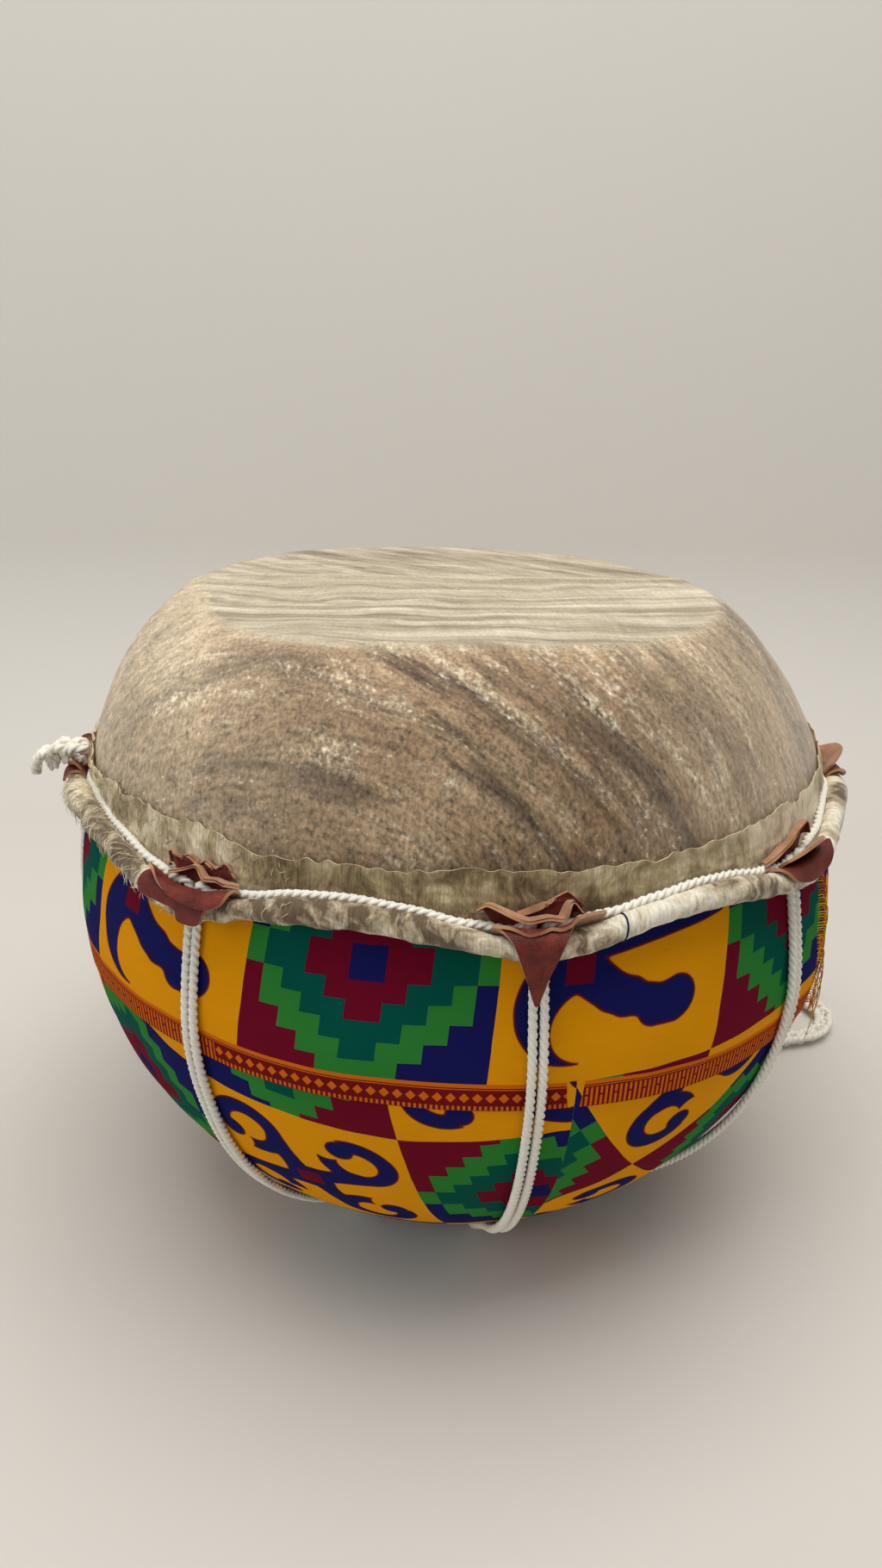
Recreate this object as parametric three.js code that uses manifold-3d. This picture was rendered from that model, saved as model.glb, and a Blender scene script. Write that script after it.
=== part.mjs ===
// A gourd kettle drum: a calabash bowl dressed in printed cloth, a hide head laced on with one rope.
// Millimetres, +Z up. The origin is the centre of the flat the bowl stands on, and -Y is the front.
import * as THREE from "three";
import { mergeVertices } from "three/addons/utils/BufferGeometryUtils.js";
import Module from "manifold-3d";

const wasm = await Module();
wasm.setup();

// ---------------------------------------------------------------- driving dimensions
const BOWL_RADIUS = 207; // outside of the cloth at the widest place
const BOWL_HALF_HEIGHT = 195; // the same outline's half height
const BASE_FLAT = 6; // depth of the round bottom that the flat takes away
const HOOP_RISE = 72; // hoop above the widest place
const HEAD_RISE = 87; // playing surface above the hoop
const MOUTH_RADIUS = 133; // rim of the playing surface
const HOOP_RADIUS = 206.5;
const HOOP_ROD = 5.5; // radius of the cane that the hoop is bent from
const ROPE = 2.5; // radius of the lacing rope
const HIDE = 1.6;
const CLOTH = 1;
const WALL = 8; // thickness of the calabash
const GAP = 0.3; // between pieces that touch
const DIP = 5; // how far each tie pulls the hoop down
const DIP_SPREAD = THREE.MathUtils.degToRad(14);
const CUFF_HEIGHT = 18; // turned-up edge of the hide above the hoop
const LAP_HEIGHT = 166; // lower edge of the upper cloth above the floor
const LAP = 15; // how far the lower cloth reaches up under the upper one
const CLOTH_RISE = 8; // top edge of the upper cloth above the hoop, under the hide
const BASE_RING_SEAT = 97; // radius where the ring sits under the bowl
const BASE_RING_ROD = 2;
const SHOULDER_POWER = 1.6; // fullness of the shoulder under the hide
// Ties round the hoop, in degrees from the front, positive towards +X.
const TIE_DEGREES = [-84, -34, 9, 49, 86, 131, 178, 229];
const TAIL_TIE = 5; // the tie where both rope ends come out
const KNOT_TIE = 0; // the tie with the knotted bight
const STEPS_BETWEEN_TIES = 5; // facets of every turned piece from one tie to the next

const EQUATOR = BOWL_HALF_HEIGHT - BASE_FLAT;
const HOOP_Z = EQUATOR + HOOP_RISE;
const HEAD_Z = HOOP_Z + HEAD_RISE;
const SHOULDER_RADIUS = 194.4; // outside of the hide level with the hoop
const ties = TIE_DEGREES.map(THREE.MathUtils.degToRad);

// ---------------------------------------------------------------- outlines
// Angles from the bowl's widest place at which every layer of the bowl has a corner, low to high.
const atHeight = (z) => Math.asin((z - EQUATOR) / BOWL_HALF_HEIGHT);
const BOWL_CORNERS = [
  ...spread(atHeight(0), atHeight(LAP_HEIGHT), 9),
  ...spread(atHeight(LAP_HEIGHT + LAP), atHeight(HOOP_Z), 4),
  atHeight(HOOP_Z + CLOTH_RISE),
];

// The corners of one layer of the bowl between two heights, as [r, z] points from low to high.
function bowlLayer(low, high, inset = 0) {
  const slack = 1e-6;
  const within = (angle) => angle > atHeight(low) - slack && angle < atHeight(high) + slack;
  return BOWL_CORNERS.filter(within).map((angle) => {
    const z = EQUATOR + (BOWL_HALF_HEIGHT - inset) * Math.sin(angle);
    return [(BOWL_RADIUS - inset) * Math.cos(angle), z];
  });
}

// Radius of the outside of the hide on the shoulder at height z.
function shoulderRadius(z) {
  const t = THREE.MathUtils.clamp((z - HOOP_Z) / HEAD_RISE, 0, 1);
  const full = (1 - t ** SHOULDER_POWER) ** (1 / SHOULDER_POWER);
  return MOUTH_RADIUS + (SHOULDER_RADIUS - MOUTH_RADIUS) * full;
}

// Even steps from low to high, both ends included.
function spread(low, high, count) {
  return Array.from({ length: count }, (_, i) => low + ((high - low) * i) / (count - 1));
}

// A line of [r, z, pull] points moved to its right by a distance.
function beside(line, distance) {
  return line.map(([r, z, pull], i) => {
    const [r0, z0] = line[Math.max(0, i - 1)];
    const [r1, z1] = line[Math.min(line.length - 1, i + 1)];
    const share = distance / Math.hypot(r1 - r0, z1 - z0);
    return [Math.max(0, r + (z1 - z0) * share), z - (r1 - r0) * share, pull];
  });
}

// A closed outline of the given thickness round an open line.
function band(line, thickness) {
  return [...beside(line, thickness / 2), ...beside(line, -thickness / 2).reverse()];
}

// Outside of the hide from the axis over the rim and down the shoulder to the hoop.
const HEAD_LINE = [
  [0, HEAD_Z, 0],
  [MOUTH_RADIUS - 5, HEAD_Z, 0],
  ...spread(HOOP_Z, HEAD_Z - 2, 8).reverse().map((z) => [shoulderRadius(z), z, 0]),
];

// ---------------------------------------------------------------- turned pieces
// Share of a tie's pull at an angle round the drum: 1 at a tie, fading to 0 between ties.
function pullAt(angle) {
  const turn = 2 * Math.PI;
  const shares = ties.map((tie) => {
    const apart = Math.abs(((angle - tie + Math.PI) % turn + turn) % turn - Math.PI);
    return Math.exp(-((apart / DIP_SPREAD) ** 2));
  });
  return Math.max(...shares);
}

// Angles of the facets' edges, so that every tie falls on one.
function facetAngles() {
  const angles = [];
  ties.forEach((tie, i) => {
    const next = i + 1 < ties.length ? ties[i + 1] : ties[0] + 2 * Math.PI;
    for (let step = 0; step < STEPS_BETWEEN_TIES; step += 1) {
      angles.push(tie + ((next - tie) * step) / STEPS_BETWEEN_TIES);
    }
  });
  return angles;
}

function place(angle, r, z, aside = 0) {
  const x = r * Math.sin(angle) + aside * Math.cos(angle);
  const y = -r * Math.cos(angle) + aside * Math.sin(angle);
  return new THREE.Vector3(x, y, z);
}

function closedGeometry(points, triangles) {
  const geometry = new THREE.BufferGeometry();
  geometry.setFromPoints(points);
  geometry.setIndex(triangles);
  const merged = mergeVertices(geometry, 1e-4);
  merged.computeVertexNormals();
  return merged;
}

// Turns a closed outline of [r, z, pull] points about Z; an outline that meets the axis closes there.
function turn(outline) {
  const angles = facetAngles();
  const count = outline.length;
  const points = [];
  angles.forEach((angle) => {
    outline.forEach(([r, z, pull = 0]) => {
      points.push(place(angle, r, z - pull * DIP * pullAt(angle)));
    });
  });
  const triangles = [];
  angles.forEach((_, i) => {
    const here = i * count;
    const next = ((i + 1) % angles.length) * count;
    outline.forEach(([r0], j) => {
      const k = (j + 1) % count;
      const r1 = outline[k][0];
      if (r0 > 0) triangles.push(here + j, next + j, next + k);
      if (r1 > 0) triangles.push(here + j, next + k, here + k);
    });
  });
  return closedGeometry(points, triangles);
}

// ---------------------------------------------------------------- solids
function toSolid(geometry) {
  const bare = geometry.clone();
  bare.deleteAttribute("normal");
  bare.deleteAttribute("uv");
  const merged = mergeVertices(bare, 1e-4);
  const triVerts = new Uint32Array(merged.index.array);
  const vertProperties = new Float32Array(merged.attributes.position.array);
  return new wasm.Manifold(new wasm.Mesh({ numProp: 3, vertProperties, triVerts }));
}

function toGeometry(solid) {
  const mesh = solid.getMesh();
  const geometry = new THREE.BufferGeometry();
  geometry.setAttribute("position", new THREE.BufferAttribute(mesh.vertProperties, 3));
  geometry.setIndex(new THREE.BufferAttribute(mesh.triVerts, 1));
  geometry.computeVertexNormals();
  return geometry;
}

// A block with the given [r, z] outline, as wide as width, standing across the tie at an angle.
function blockAt(angle, outline, width) {
  const shape = new THREE.Shape(outline.map(([r, z]) => new THREE.Vector2(r, z)));
  const geometry = new THREE.ExtrudeGeometry(shape, { depth: width, bevelEnabled: false });
  geometry.translate(0, 0, -width / 2);
  const out = place(angle, 1, 0);
  const up = new THREE.Vector3(0, 0, 1);
  const across = new THREE.Vector3().crossVectors(out, up);
  geometry.applyMatrix4(new THREE.Matrix4().makeBasis(out, up, across));
  return geometry;
}

// A curve whose even steps fall on its own points, however far apart they are.
class PointwiseCurve extends THREE.CatmullRomCurve3 {
  getPointAt(share) {
    return this.getPoint(share);
  }

  getTangentAt(share) {
    return this.getTangent(share);
  }
}

// A tube through points, with a section of flat sides at each of them.
function tube(points, radius, sides) {
  const section = new THREE.Shape();
  for (let i = 0; i < sides; i += 1) {
    const angle = (2 * Math.PI * i) / sides;
    const corner = [radius * Math.cos(angle), radius * Math.sin(angle)];
    if (i) section.lineTo(...corner);
    else section.moveTo(...corner);
  }
  const extrudePath = new PointwiseCurve(points, false, "centripetal");
  return new THREE.ExtrudeGeometry(section, { steps: points.length - 1, extrudePath, bevelEnabled: false });
}

// ---------------------------------------------------------------- bowl and cloth
function gourdShell() {
  const inset = CLOTH + GAP;
  const low = bowlLayer(0, HOOP_Z + CLOTH_RISE, inset);
  const lowInside = bowlLayer(20, HOOP_Z, inset + WALL).filter((_, i) => i % 2 === 0);
  const shoulder = beside(HEAD_LINE, HIDE + GAP).filter(([r, z]) => r > 0 && z > HOOP_Z + 36).reverse();
  const lip = shoulder.at(-1);
  const outer = [
    [0, low[0][1]],
    ...low,
    [183.2, HOOP_Z + 28],
    ...shoulder,
    [lip[0] - 3, lip[1] - 2],
  ];
  const inner = [
    [shoulderRadius(HOOP_Z + 58) - HIDE - WALL - 2, HOOP_Z + 58],
    [183.2 - WALL, HOOP_Z + 22],
    ...lowInside.reverse(),
    [0, low[0][1] + WALL],
  ];
  return turn([...outer, ...inner]);
}

// The upper cloth stands off by its thickness where it laps over the lower one.
function upperCloth() {
  const side = (inset) => {
    return bowlLayer(LAP_HEIGHT, HOOP_Z + CLOTH_RISE, inset).map(([r, z], i) => {
      return [r + (i < 2 ? CLOTH + GAP : 0), z];
    });
  };
  return turn([...side(0), ...side(CLOTH).reverse()]);
}

function lowerCloth() {
  const top = LAP_HEIGHT + LAP;
  const outside = bowlLayer(0, top);
  const inside = bowlLayer(0, top, CLOTH);
  return turn([[0, 0], ...outside, ...inside.reverse(), [0, inside.at(-1)[1]]]);
}

// ---------------------------------------------------------------- hoop and hide
function hoop() {
  const outline = [];
  for (let i = 0; i < 8; i += 1) {
    const angle = (Math.PI * i) / 4;
    outline.push([HOOP_RADIUS + HOOP_ROD * Math.cos(angle), HOOP_Z + HOOP_ROD * Math.sin(angle), 1]);
  }
  return turn(outline);
}

// Middle line of the hide: the head, the shoulder, round under the hoop and up again as the cuff.
function hideLine() {
  const bend = THREE.MathUtils.degToRad(40); // between two corners of the wrap round the hoop
  const wrap = (HOOP_ROD + GAP) / Math.cos(bend / 2) + HIDE / 2;
  const head = beside(HEAD_LINE, HIDE / 2);
  const under = [
    [196, HOOP_Z - 4, 0.3],
    [199.2, HOOP_Z - 6.9, 0.8],
    [202.8, HOOP_Z - 7, 1],
  ];
  const round = [];
  for (let i = 0; i < 6; i += 1) {
    const angle = i * bend - Math.PI / 2;
    round.push([HOOP_RADIUS + wrap * Math.cos(angle), HOOP_Z + wrap * Math.sin(angle), 1]);
  }
  const edge = HOOP_Z + CUFF_HEIGHT;
  const cuff = [
    [199.5, HOOP_Z + 8.2, 0.8],
    [196, HOOP_Z + 12.5, 0.4],
    [shoulderRadius(edge) + 2 * GAP + HIDE / 2, edge, 0],
  ];
  return [...head, ...under, ...round, ...cuff];
}

// Where the pair of strands goes down inside the hoop, as [r, z] points of its middle line.
const DIVE = [
  [201.4, HOOP_Z + 10],
  [199.4, HOOP_Z + 4],
  [198, HOOP_Z - 1],
  [197.8, HOOP_Z - 5],
  [199.5, HOOP_Z - 10.5],
];

function hide() {
  const reach = ROPE + 2 * GAP;
  const line = [[202, HOOP_Z + 18], ...DIVE, [201.2, HOOP_Z - 16]];
  const outline = [
    ...line.map(([r, z]) => [r - reach, z]),
    ...line.map(([r, z]) => [r + reach, z]).reverse(),
  ];
  let solid = toSolid(turn(band(hideLine(), HIDE)));
  ties.forEach((tie) => {
    solid = solid.subtract(toSolid(blockAt(tie, outline, 15)));
  });
  return toGeometry(solid);
}

// ---------------------------------------------------------------- leather washers
// Middle line of a washer over the hoop, as [r, z, half width]: up the cuff, over and down outside.
const WASHER_LINE = [
  [193.2, HOOP_Z + 24, 5],
  [197.9, HOOP_Z + 12.8, 22],
  [201.5, HOOP_Z + 8, 29],
  [209, HOOP_Z + 6.5, 29],
  [216.5, HOOP_Z + 2, 22],
  [218, HOOP_Z - 9, 13],
  [214, HOOP_Z - 26, 3],
];
const WASHER = 1.2;

function leatherWasher(tie) {
  const outline = band(WASHER_LINE, WASHER);
  const count = outline.length;
  const points = [];
  [-1, 1].forEach((side) => {
    outline.forEach(([r, z, half]) => points.push(place(tie, r, z, side * half)));
  });
  const triangles = [];
  for (let j = 0; j < count; j += 1) {
    const k = (j + 1) % count;
    triangles.push(j, j + count, k + count, j, k + count, k);
  }
  for (let j = 0; j < WASHER_LINE.length - 1; j += 1) {
    const far = count - 1 - j;
    triangles.push(j, j + 1, far - 1, j, far - 1, far);
    triangles.push(j + count, far - 1 + count, j + 1 + count, j + count, far + count, far - 1 + count);
  }
  const hole = [
    [196.7, HOOP_Z],
    [205.2, HOOP_Z],
    [205.2, HOOP_Z + 18],
    [196.7, HOOP_Z + 18],
  ];
  const sheet = toSolid(closedGeometry(points, triangles));
  return toGeometry(sheet.subtract(toSolid(blockAt(tie, hole, 19))));
}

// ---------------------------------------------------------------- lacing
const PAIR = ROPE + 0.4; // half the spacing of a pair of strands
const OFF_BOWL = ROPE + 0.75; // rope's middle line off the cloth
const HOOK = BASE_RING_ROD + ROPE + 0.9; // rope's middle line off the ring's, where it turns back
const RING_ANGLE = -Math.acos(BASE_RING_SEAT / BOWL_RADIUS);
const ON_ROLL = [203.6, 10.6]; // rope's middle line on the roll, [r, above the hoop]
const OVER_LEATHER = [204.2, 12.3]; // and where it runs over a washer

// Where the dressed bowl's outline stands at an angle below its widest place, with its normal.
function bowlAt(angle) {
  const across = Math.cos(angle);
  const up = Math.sin(angle);
  const point = new THREE.Vector2(BOWL_RADIUS * across, EQUATOR + BOWL_HALF_HEIGHT * up);
  const normal = new THREE.Vector2(across / BOWL_RADIUS, up / BOWL_HALF_HEIGHT).normalize();
  return { point, normal };
}

function offBowl(angle, off) {
  const { point, normal } = bowlAt(angle);
  return point.addScaledVector(normal, off).toArray();
}

const RING_CENTRE = offBowl(RING_ANGLE, OFF_BOWL + HOOK);

// One strand of a pair on the bowl, from under the hoop to just above the ring, as [r, z] points.
function strandDown() {
  const lapTop = LAP_HEIGHT + LAP;
  const upper = [HOOP_Z - 18, lapTop + 22].map(atHeight);
  const lap = [lapTop + 3, LAP_HEIGHT - 3].map(atHeight);
  const lower = spread(atHeight(LAP_HEIGHT - 24), RING_ANGLE + 0.2, 6);
  return [
    ...upper.map((angle) => offBowl(angle, OFF_BOWL)),
    ...lap.map((angle) => offBowl(angle, OFF_BOWL + CLOTH + GAP)),
    ...lower.map((angle) => offBowl(angle, OFF_BOWL)),
  ];
}

// The turn round the ring, from its floor side over its inner side to its bowl side.
function hookTurn(tie) {
  const { normal } = bowlAt(RING_ANGLE);
  const inward = new THREE.Vector2(normal.y, -normal.x);
  return [0, 45, 90, 135, 180].map((degrees) => {
    const angle = THREE.MathUtils.degToRad(degrees);
    const r = RING_CENTRE[0] + HOOK * (Math.cos(angle) * normal.x + Math.sin(angle) * inward.x);
    const z = RING_CENTRE[1] + HOOK * (Math.cos(angle) * normal.y + Math.sin(angle) * inward.y);
    return place(tie, r, z, PAIR * (degrees / 90 - 1));
  });
}

// Down one strand, round the ring and up the other.
function tieLoop(tie) {
  const dive = [...DIVE.slice(1), ...strandDown()];
  const down = dive.map(([r, z]) => place(tie, r, z, -PAIR));
  const up = dive.map(([r, z]) => place(tie, r, z, PAIR)).reverse();
  return [...down, ...hookTurn(tie), ...up];
}

// Over the washer on one side of a tie, from near its hole outwards.
function overWasher(tie, side) {
  const [r, rise] = OVER_LEATHER;
  return [
    place(tie, 201.4, HOOP_Z + 8.8, side * 4.2),
    place(tie, 203.2, HOOP_Z + rise, side * 9.5),
    place(tie + (side * 31) / r, r, HOOP_Z + rise),
  ];
}

// Along the roll between two ties.
function alongRoll(from, to) {
  const [r, rise] = ON_ROLL;
  const clear = 48 / r;
  return spread(from + clear, to - clear, 4).map((angle) => {
    return place(angle, r, HOOP_Z + rise - DIP * pullAt(angle));
  });
}

// Both ends of the lacing lie side by side on the outside of the tail tie's washer.
const ENDS = {
  first: [[210.5, 11.6, 0], [205, 12, -1.2]],
  last: [[208, 12.3, -7], [210.5, 11.6, -5.6]],
};

function lacingRope() {
  const count = ties.length;
  const home = ties[TAIL_TIE];
  const onTail = ([r, rise, aside]) => place(home, r, HOOP_Z + rise, aside);
  const points = [...ENDS.first.map(onTail), place(home, 201.4, HOOP_Z + 8.8, -2.4)];
  for (let i = 0; i < count; i += 1) {
    const tie = ties[(TAIL_TIE + i) % count] + (TAIL_TIE + i >= count ? 2 * Math.PI : 0);
    const next = ties[(TAIL_TIE + i + 1) % count] + (TAIL_TIE + i + 1 >= count ? 2 * Math.PI : 0);
    points.push(...tieLoop(tie), ...overWasher(tie, 1), ...alongRoll(tie, next));
    points.push(...overWasher(next, -1).reverse().slice(0, i + 1 < count ? 3 : 2));
  }
  points.push(...ENDS.last.map(onTail));
  return tube(points, ROPE, 8);
}

function baseRing() {
  const geometry = new THREE.TorusGeometry(RING_CENTRE[0], BASE_RING_ROD, 8, 32);
  return geometry.translate(0, 0, RING_CENTRE[1]);
}

// ---------------------------------------------------------------- rope ends
// The knotted bight outside a washer, as [r, above the hoop, radius] along its middle line.
const KNOT_LINE = [
  [208, 12, 2.5],
  [214, 10.6, 4],
  [220.5, 6.2, 4.4],
  [226.5, 1, 8.4],
  [232, -3, 9.5],
  [238, -6.5, 8],
  [242, -8.5, 3],
];

function knotBundle(tie) {
  const sides = 10;
  const points = [];
  KNOT_LINE.forEach(([r, rise, radius], i) => {
    const [r0, rise0] = KNOT_LINE[Math.max(0, i - 1)];
    const [r1, rise1] = KNOT_LINE[Math.min(KNOT_LINE.length - 1, i + 1)];
    const along = new THREE.Vector2(r1 - r0, rise1 - rise0).normalize();
    for (let j = 0; j < sides; j += 1) {
      const angle = (2 * Math.PI * j) / sides;
      const lift = radius * Math.sin(angle);
      const aside = radius * Math.cos(angle);
      points.push(place(tie, r - along.y * lift, HOOP_Z + rise + along.x * lift, aside));
    }
  });
  const triangles = [];
  const last = (KNOT_LINE.length - 1) * sides;
  for (let j = 0; j < sides; j += 1) {
    const k = (j + 1) % sides;
    for (let row = 0; row < last; row += sides) {
      triangles.push(row + j, row + k, row + sides + k, row + j, row + sides + k, row + sides + j);
    }
    if (j > 1) triangles.push(0, j, j - 1, last, last + j - 1, last + j);
  }
  return closedGeometry(points, triangles);
}

const TAIL_RADIUS = 5.5; // the chain of loops that the rope's two ends are worked into
// Its route: [r, z] over the washer and down from the tie, then [x, y] on the floor.
const TAIL_HANG = [
  [212.2, HOOP_Z + 12.4],
  [219.5, HOOP_Z + 9.6],
  [224.6, HOOP_Z],
  [225.4, HOOP_Z - 20],
  [225.4, 140],
  [225.4, 46],
  [227, 26],
  [232, 12],
];
const TAIL_FLOOR = [
  [187, 162],
  [214, 187],
  [246, 196],
  [274, 187],
  [281, 164],
  [270, 143],
  [278, 121],
  [267, 98],
  [240, 88],
  [212, 84],
  [194, 86],
];

function tailChain() {
  const tie = ties[TAIL_TIE];
  const hang = TAIL_HANG.map(([r, z]) => place(tie, r, z, -2.8));
  const floor = TAIL_FLOOR.map(([x, y]) => new THREE.Vector3(x, y, TAIL_RADIUS + GAP));
  return tube([...hang, ...floor], TAIL_RADIUS, 10);
}

// A loop of thread over the outside of the roll, where the hide's wrap is sewn.
function hoopStitch() {
  const at = THREE.MathUtils.degToRad(18);
  const away = HOOP_ROD + GAP + HIDE + 1;
  const sunk = DIP * pullAt(at);
  const points = [-70, -35, 0, 35, 70].map((degrees) => {
    const angle = THREE.MathUtils.degToRad(degrees);
    return place(at, HOOP_RADIUS + away * Math.cos(angle), HOOP_Z - sunk + away * Math.sin(angle));
  });
  return tube(points, 0.4, 8);
}

// ---------------------------------------------------------------- the drum
const drum = new THREE.Group();

function add(name, geometry, color, roughness, metalness = 0) {
  const material = new THREE.MeshStandardMaterial({ color, roughness, metalness });
  const mesh = new THREE.Mesh(geometry, material);
  mesh.name = name;
  drum.add(mesh);
}

add("gourd_shell", gourdShell(), 0xb98a4a, 0.7);
add("cloth_lower", lowerCloth(), 0xd99a1c, 0.85);
add("cloth_upper", upperCloth(), 0x2a2a6a, 0.85);
add("hoop_rod", hoop(), 0xc8a468, 0.6);
add("hide", hide(), 0xa8947c, 0.75);
add("hoop_stitch", hoopStitch(), 0x20284a, 0.8);
ties.forEach((tie, i) => {
  add(`leather_washer_${i + 1}`, leatherWasher(tie), 0x7a3426, 0.65);
});
add("lacing_rope", lacingRope(), 0xe8e4da, 0.8);
add("base_ring", baseRing(), 0x3c3a38, 0.5, 0.8);
add("knot_bundle", knotBundle(ties[KNOT_TIE]), 0xe8e4da, 0.8);
add("tail_chain", tailChain(), 0xe8e4da, 0.8);

export default drum;
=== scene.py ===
"""Looks of a gourd kettle drum: printed cloth, laced hide, cotton rope and leather round its CAD frame."""
import math

import bpy
import numpy as np
from mathutils import Matrix


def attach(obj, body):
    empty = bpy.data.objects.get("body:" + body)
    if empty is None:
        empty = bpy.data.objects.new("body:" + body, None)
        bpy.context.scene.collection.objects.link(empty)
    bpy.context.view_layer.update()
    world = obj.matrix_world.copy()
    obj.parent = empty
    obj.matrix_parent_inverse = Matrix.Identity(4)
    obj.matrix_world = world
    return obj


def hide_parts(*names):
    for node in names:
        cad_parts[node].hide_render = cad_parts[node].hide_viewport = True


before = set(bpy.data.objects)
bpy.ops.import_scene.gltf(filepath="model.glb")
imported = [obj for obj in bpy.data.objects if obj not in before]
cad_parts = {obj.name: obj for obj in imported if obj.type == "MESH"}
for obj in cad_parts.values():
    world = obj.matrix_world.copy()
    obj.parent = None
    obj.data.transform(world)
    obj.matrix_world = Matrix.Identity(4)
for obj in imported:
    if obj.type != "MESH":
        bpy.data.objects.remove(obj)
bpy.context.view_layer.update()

# ---------------------------------------------------------------- dimensions, in metres
# The bowl, the hoop and the head are the frame's. The cane, the rope and the ring's seat follow the photo.
BOWL_RADIUS = 0.207
BOWL_HALF_HEIGHT = 0.195
EQUATOR = 0.189
HOOP_Z = 0.261
HEAD_Z = 0.348
HOOP_RADIUS = 0.2065
ROD = 0.0036
ROPE, TAIL_ROPE, KNOT_ROPE = 0.0022, 0.0026, 0.0029
ROPE_PITCH = 0.0120
SHOULDER_RADIUS = 0.1944
BASE_RING_SEAT = 0.089
BASE_RING_ROD = 0.002
TIES = np.radians([-84, -34, 9, 49, 86, 131, 178, 229])
KNOT_TIE, TAIL_TIE = 0, 5
FOLD_Y = 0.027
MM = 0.001

# The soft parts as they settle: the ties pull the roll down and push it out a little.
SPAN_DROP, TIE_DROP, TIE_PUSH = 0.005, 0.010, 0.0035
SIDE_IN = 0.004
DIP_SPREAD = math.radians(11)
ROLL = 0.0055
# Thicknesses.
CLOTH = 0.0006
SKIN = 0.0014
WALL = 0.0075


def smoothstep(low, high, value):
    share = np.clip((np.asarray(value, float) - low) / (high - low), 0, 1)
    return share * share * (3 - 2 * share)


def place(angle, radius, z, aside=0.0):
    """Points at an angle round the drum from its front, positive towards +X."""
    angle, radius, z, aside = np.broadcast_arrays(angle, radius, z, aside)
    x = radius * np.sin(angle) + aside * np.cos(angle)
    y = -radius * np.cos(angle) + aside * np.sin(angle)
    return np.stack([x, y, z], axis=-1).astype(float)


def apart(angle, other):
    return np.abs((np.asarray(angle) - other + np.pi) % (2 * np.pi) - np.pi)


def pull_at(angle):
    """1 at a tie, fading to 0 between ties."""
    return np.max([np.exp(-((apart(angle, tie) / DIP_SPREAD) ** 2)) for tie in TIES], axis=0)


def side_in(angle):
    """How much closer the hoop lies at the sides, where the bowl's mouth is a little narrower."""
    return SIDE_IN * np.sin(angle) ** 4


def bowl_angle(z):
    return np.arcsin(np.clip((np.asarray(z) - EQUATOR) / BOWL_HALF_HEIGHT, -1, 1))


def bowl_point(angle, off=0.0):
    """[r, z] of the dressed bowl's outline at an angle above its widest place, moved out by off."""
    across, up = np.cos(angle), np.sin(angle)
    normal = np.stack([across / BOWL_RADIUS, up / BOWL_HALF_HEIGHT], axis=-1)
    normal /= np.linalg.norm(normal, axis=-1, keepdims=True)
    r = BOWL_RADIUS * across + off * normal[..., 0]
    z = EQUATOR + BOWL_HALF_HEIGHT * up + off * normal[..., 1]
    return r, z


def waves(points, size, seed, count=28, stretch=(1, 1, 1)):
    """A smooth random field over points, about -1 to 1, with lumps of the given size."""
    rng = np.random.default_rng(seed)
    way = rng.normal(size=(count, points.shape[-1]))
    way *= (rng.uniform(0.6, 1.5, count) / np.linalg.norm(way, axis=1))[:, None] * np.pi / size
    way /= np.asarray(stretch[: points.shape[-1]], float)
    phase = rng.uniform(0, 2 * np.pi, count)
    return np.sin(points @ way.T + phase).sum(-1) / math.sqrt(count)


def round_waves(angle, size, seed):
    """The same round the drum, along an angle only, with no step where it closes."""
    circle = np.stack([np.sin(angle), np.cos(angle)], axis=-1) * HOOP_RADIUS
    return waves(circle, size, seed)


def soft_weights(reach, width):
    """Weights of a soft average over neighbours."""
    weights = np.exp(-((np.arange(-reach, reach + 1) / width) ** 2))
    return weights / weights.sum()


# ---------------------------------------------------------------- meshes
def mesh_object(name, points, faces, layers, materials, face_material=None, sharp=50):
    """An object from points, a list of face arrays and, per UV layer, the matching list of corner UVs."""
    data = bpy.data.meshes.new(name)
    points = np.asarray(points, float)
    sizes = np.concatenate([np.full(len(f), f.shape[1]) for f in faces])
    corners = np.concatenate([f.ravel() for f in faces])
    data.vertices.add(len(points))
    data.vertices.foreach_set("co", points.ravel())
    data.loops.add(len(corners))
    data.loops.foreach_set("vertex_index", corners.astype(np.int32))
    data.polygons.add(len(sizes))
    data.polygons.foreach_set("loop_start", (np.cumsum(sizes) - sizes).astype(np.int32))
    data.polygons.foreach_set("loop_total", sizes.astype(np.int32))
    for key, parts in layers.items():
        layer = data.uv_layers.new(name=key)
        flat = np.concatenate([p.reshape(-1, 2) for p in parts])
        layer.data.foreach_set("uv", flat.astype(np.float32).ravel())
    for material in materials:
        data.materials.append(material)
    if face_material is not None:
        data.polygons.foreach_set("material_index", np.asarray(face_material, np.int32))
    data.update(calc_edges=True)
    data.validate()
    data.shade_smooth()
    data.set_sharp_from_angle(angle=math.radians(sharp))
    made = bpy.data.objects.new(name, data)
    bpy.context.scene.collection.objects.link(made)
    return made


def grid_normals(grid, wrap):
    """Unit normals of a grid of points, on the side where column x row turns to."""
    if wrap:
        along = np.roll(grid, -1, axis=0) - np.roll(grid, 1, axis=0)
    else:
        along = np.gradient(grid, axis=0)
    across = np.gradient(grid, axis=1)
    normal = np.cross(along, across)
    return normal / np.maximum(np.linalg.norm(normal, axis=-1, keepdims=True), 1e-12)


def closed(columns, turn=0.0):
    """Columns with the first again at the end, moved on by a whole turn."""
    return np.concatenate([columns, columns[:1] + turn])


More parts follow.
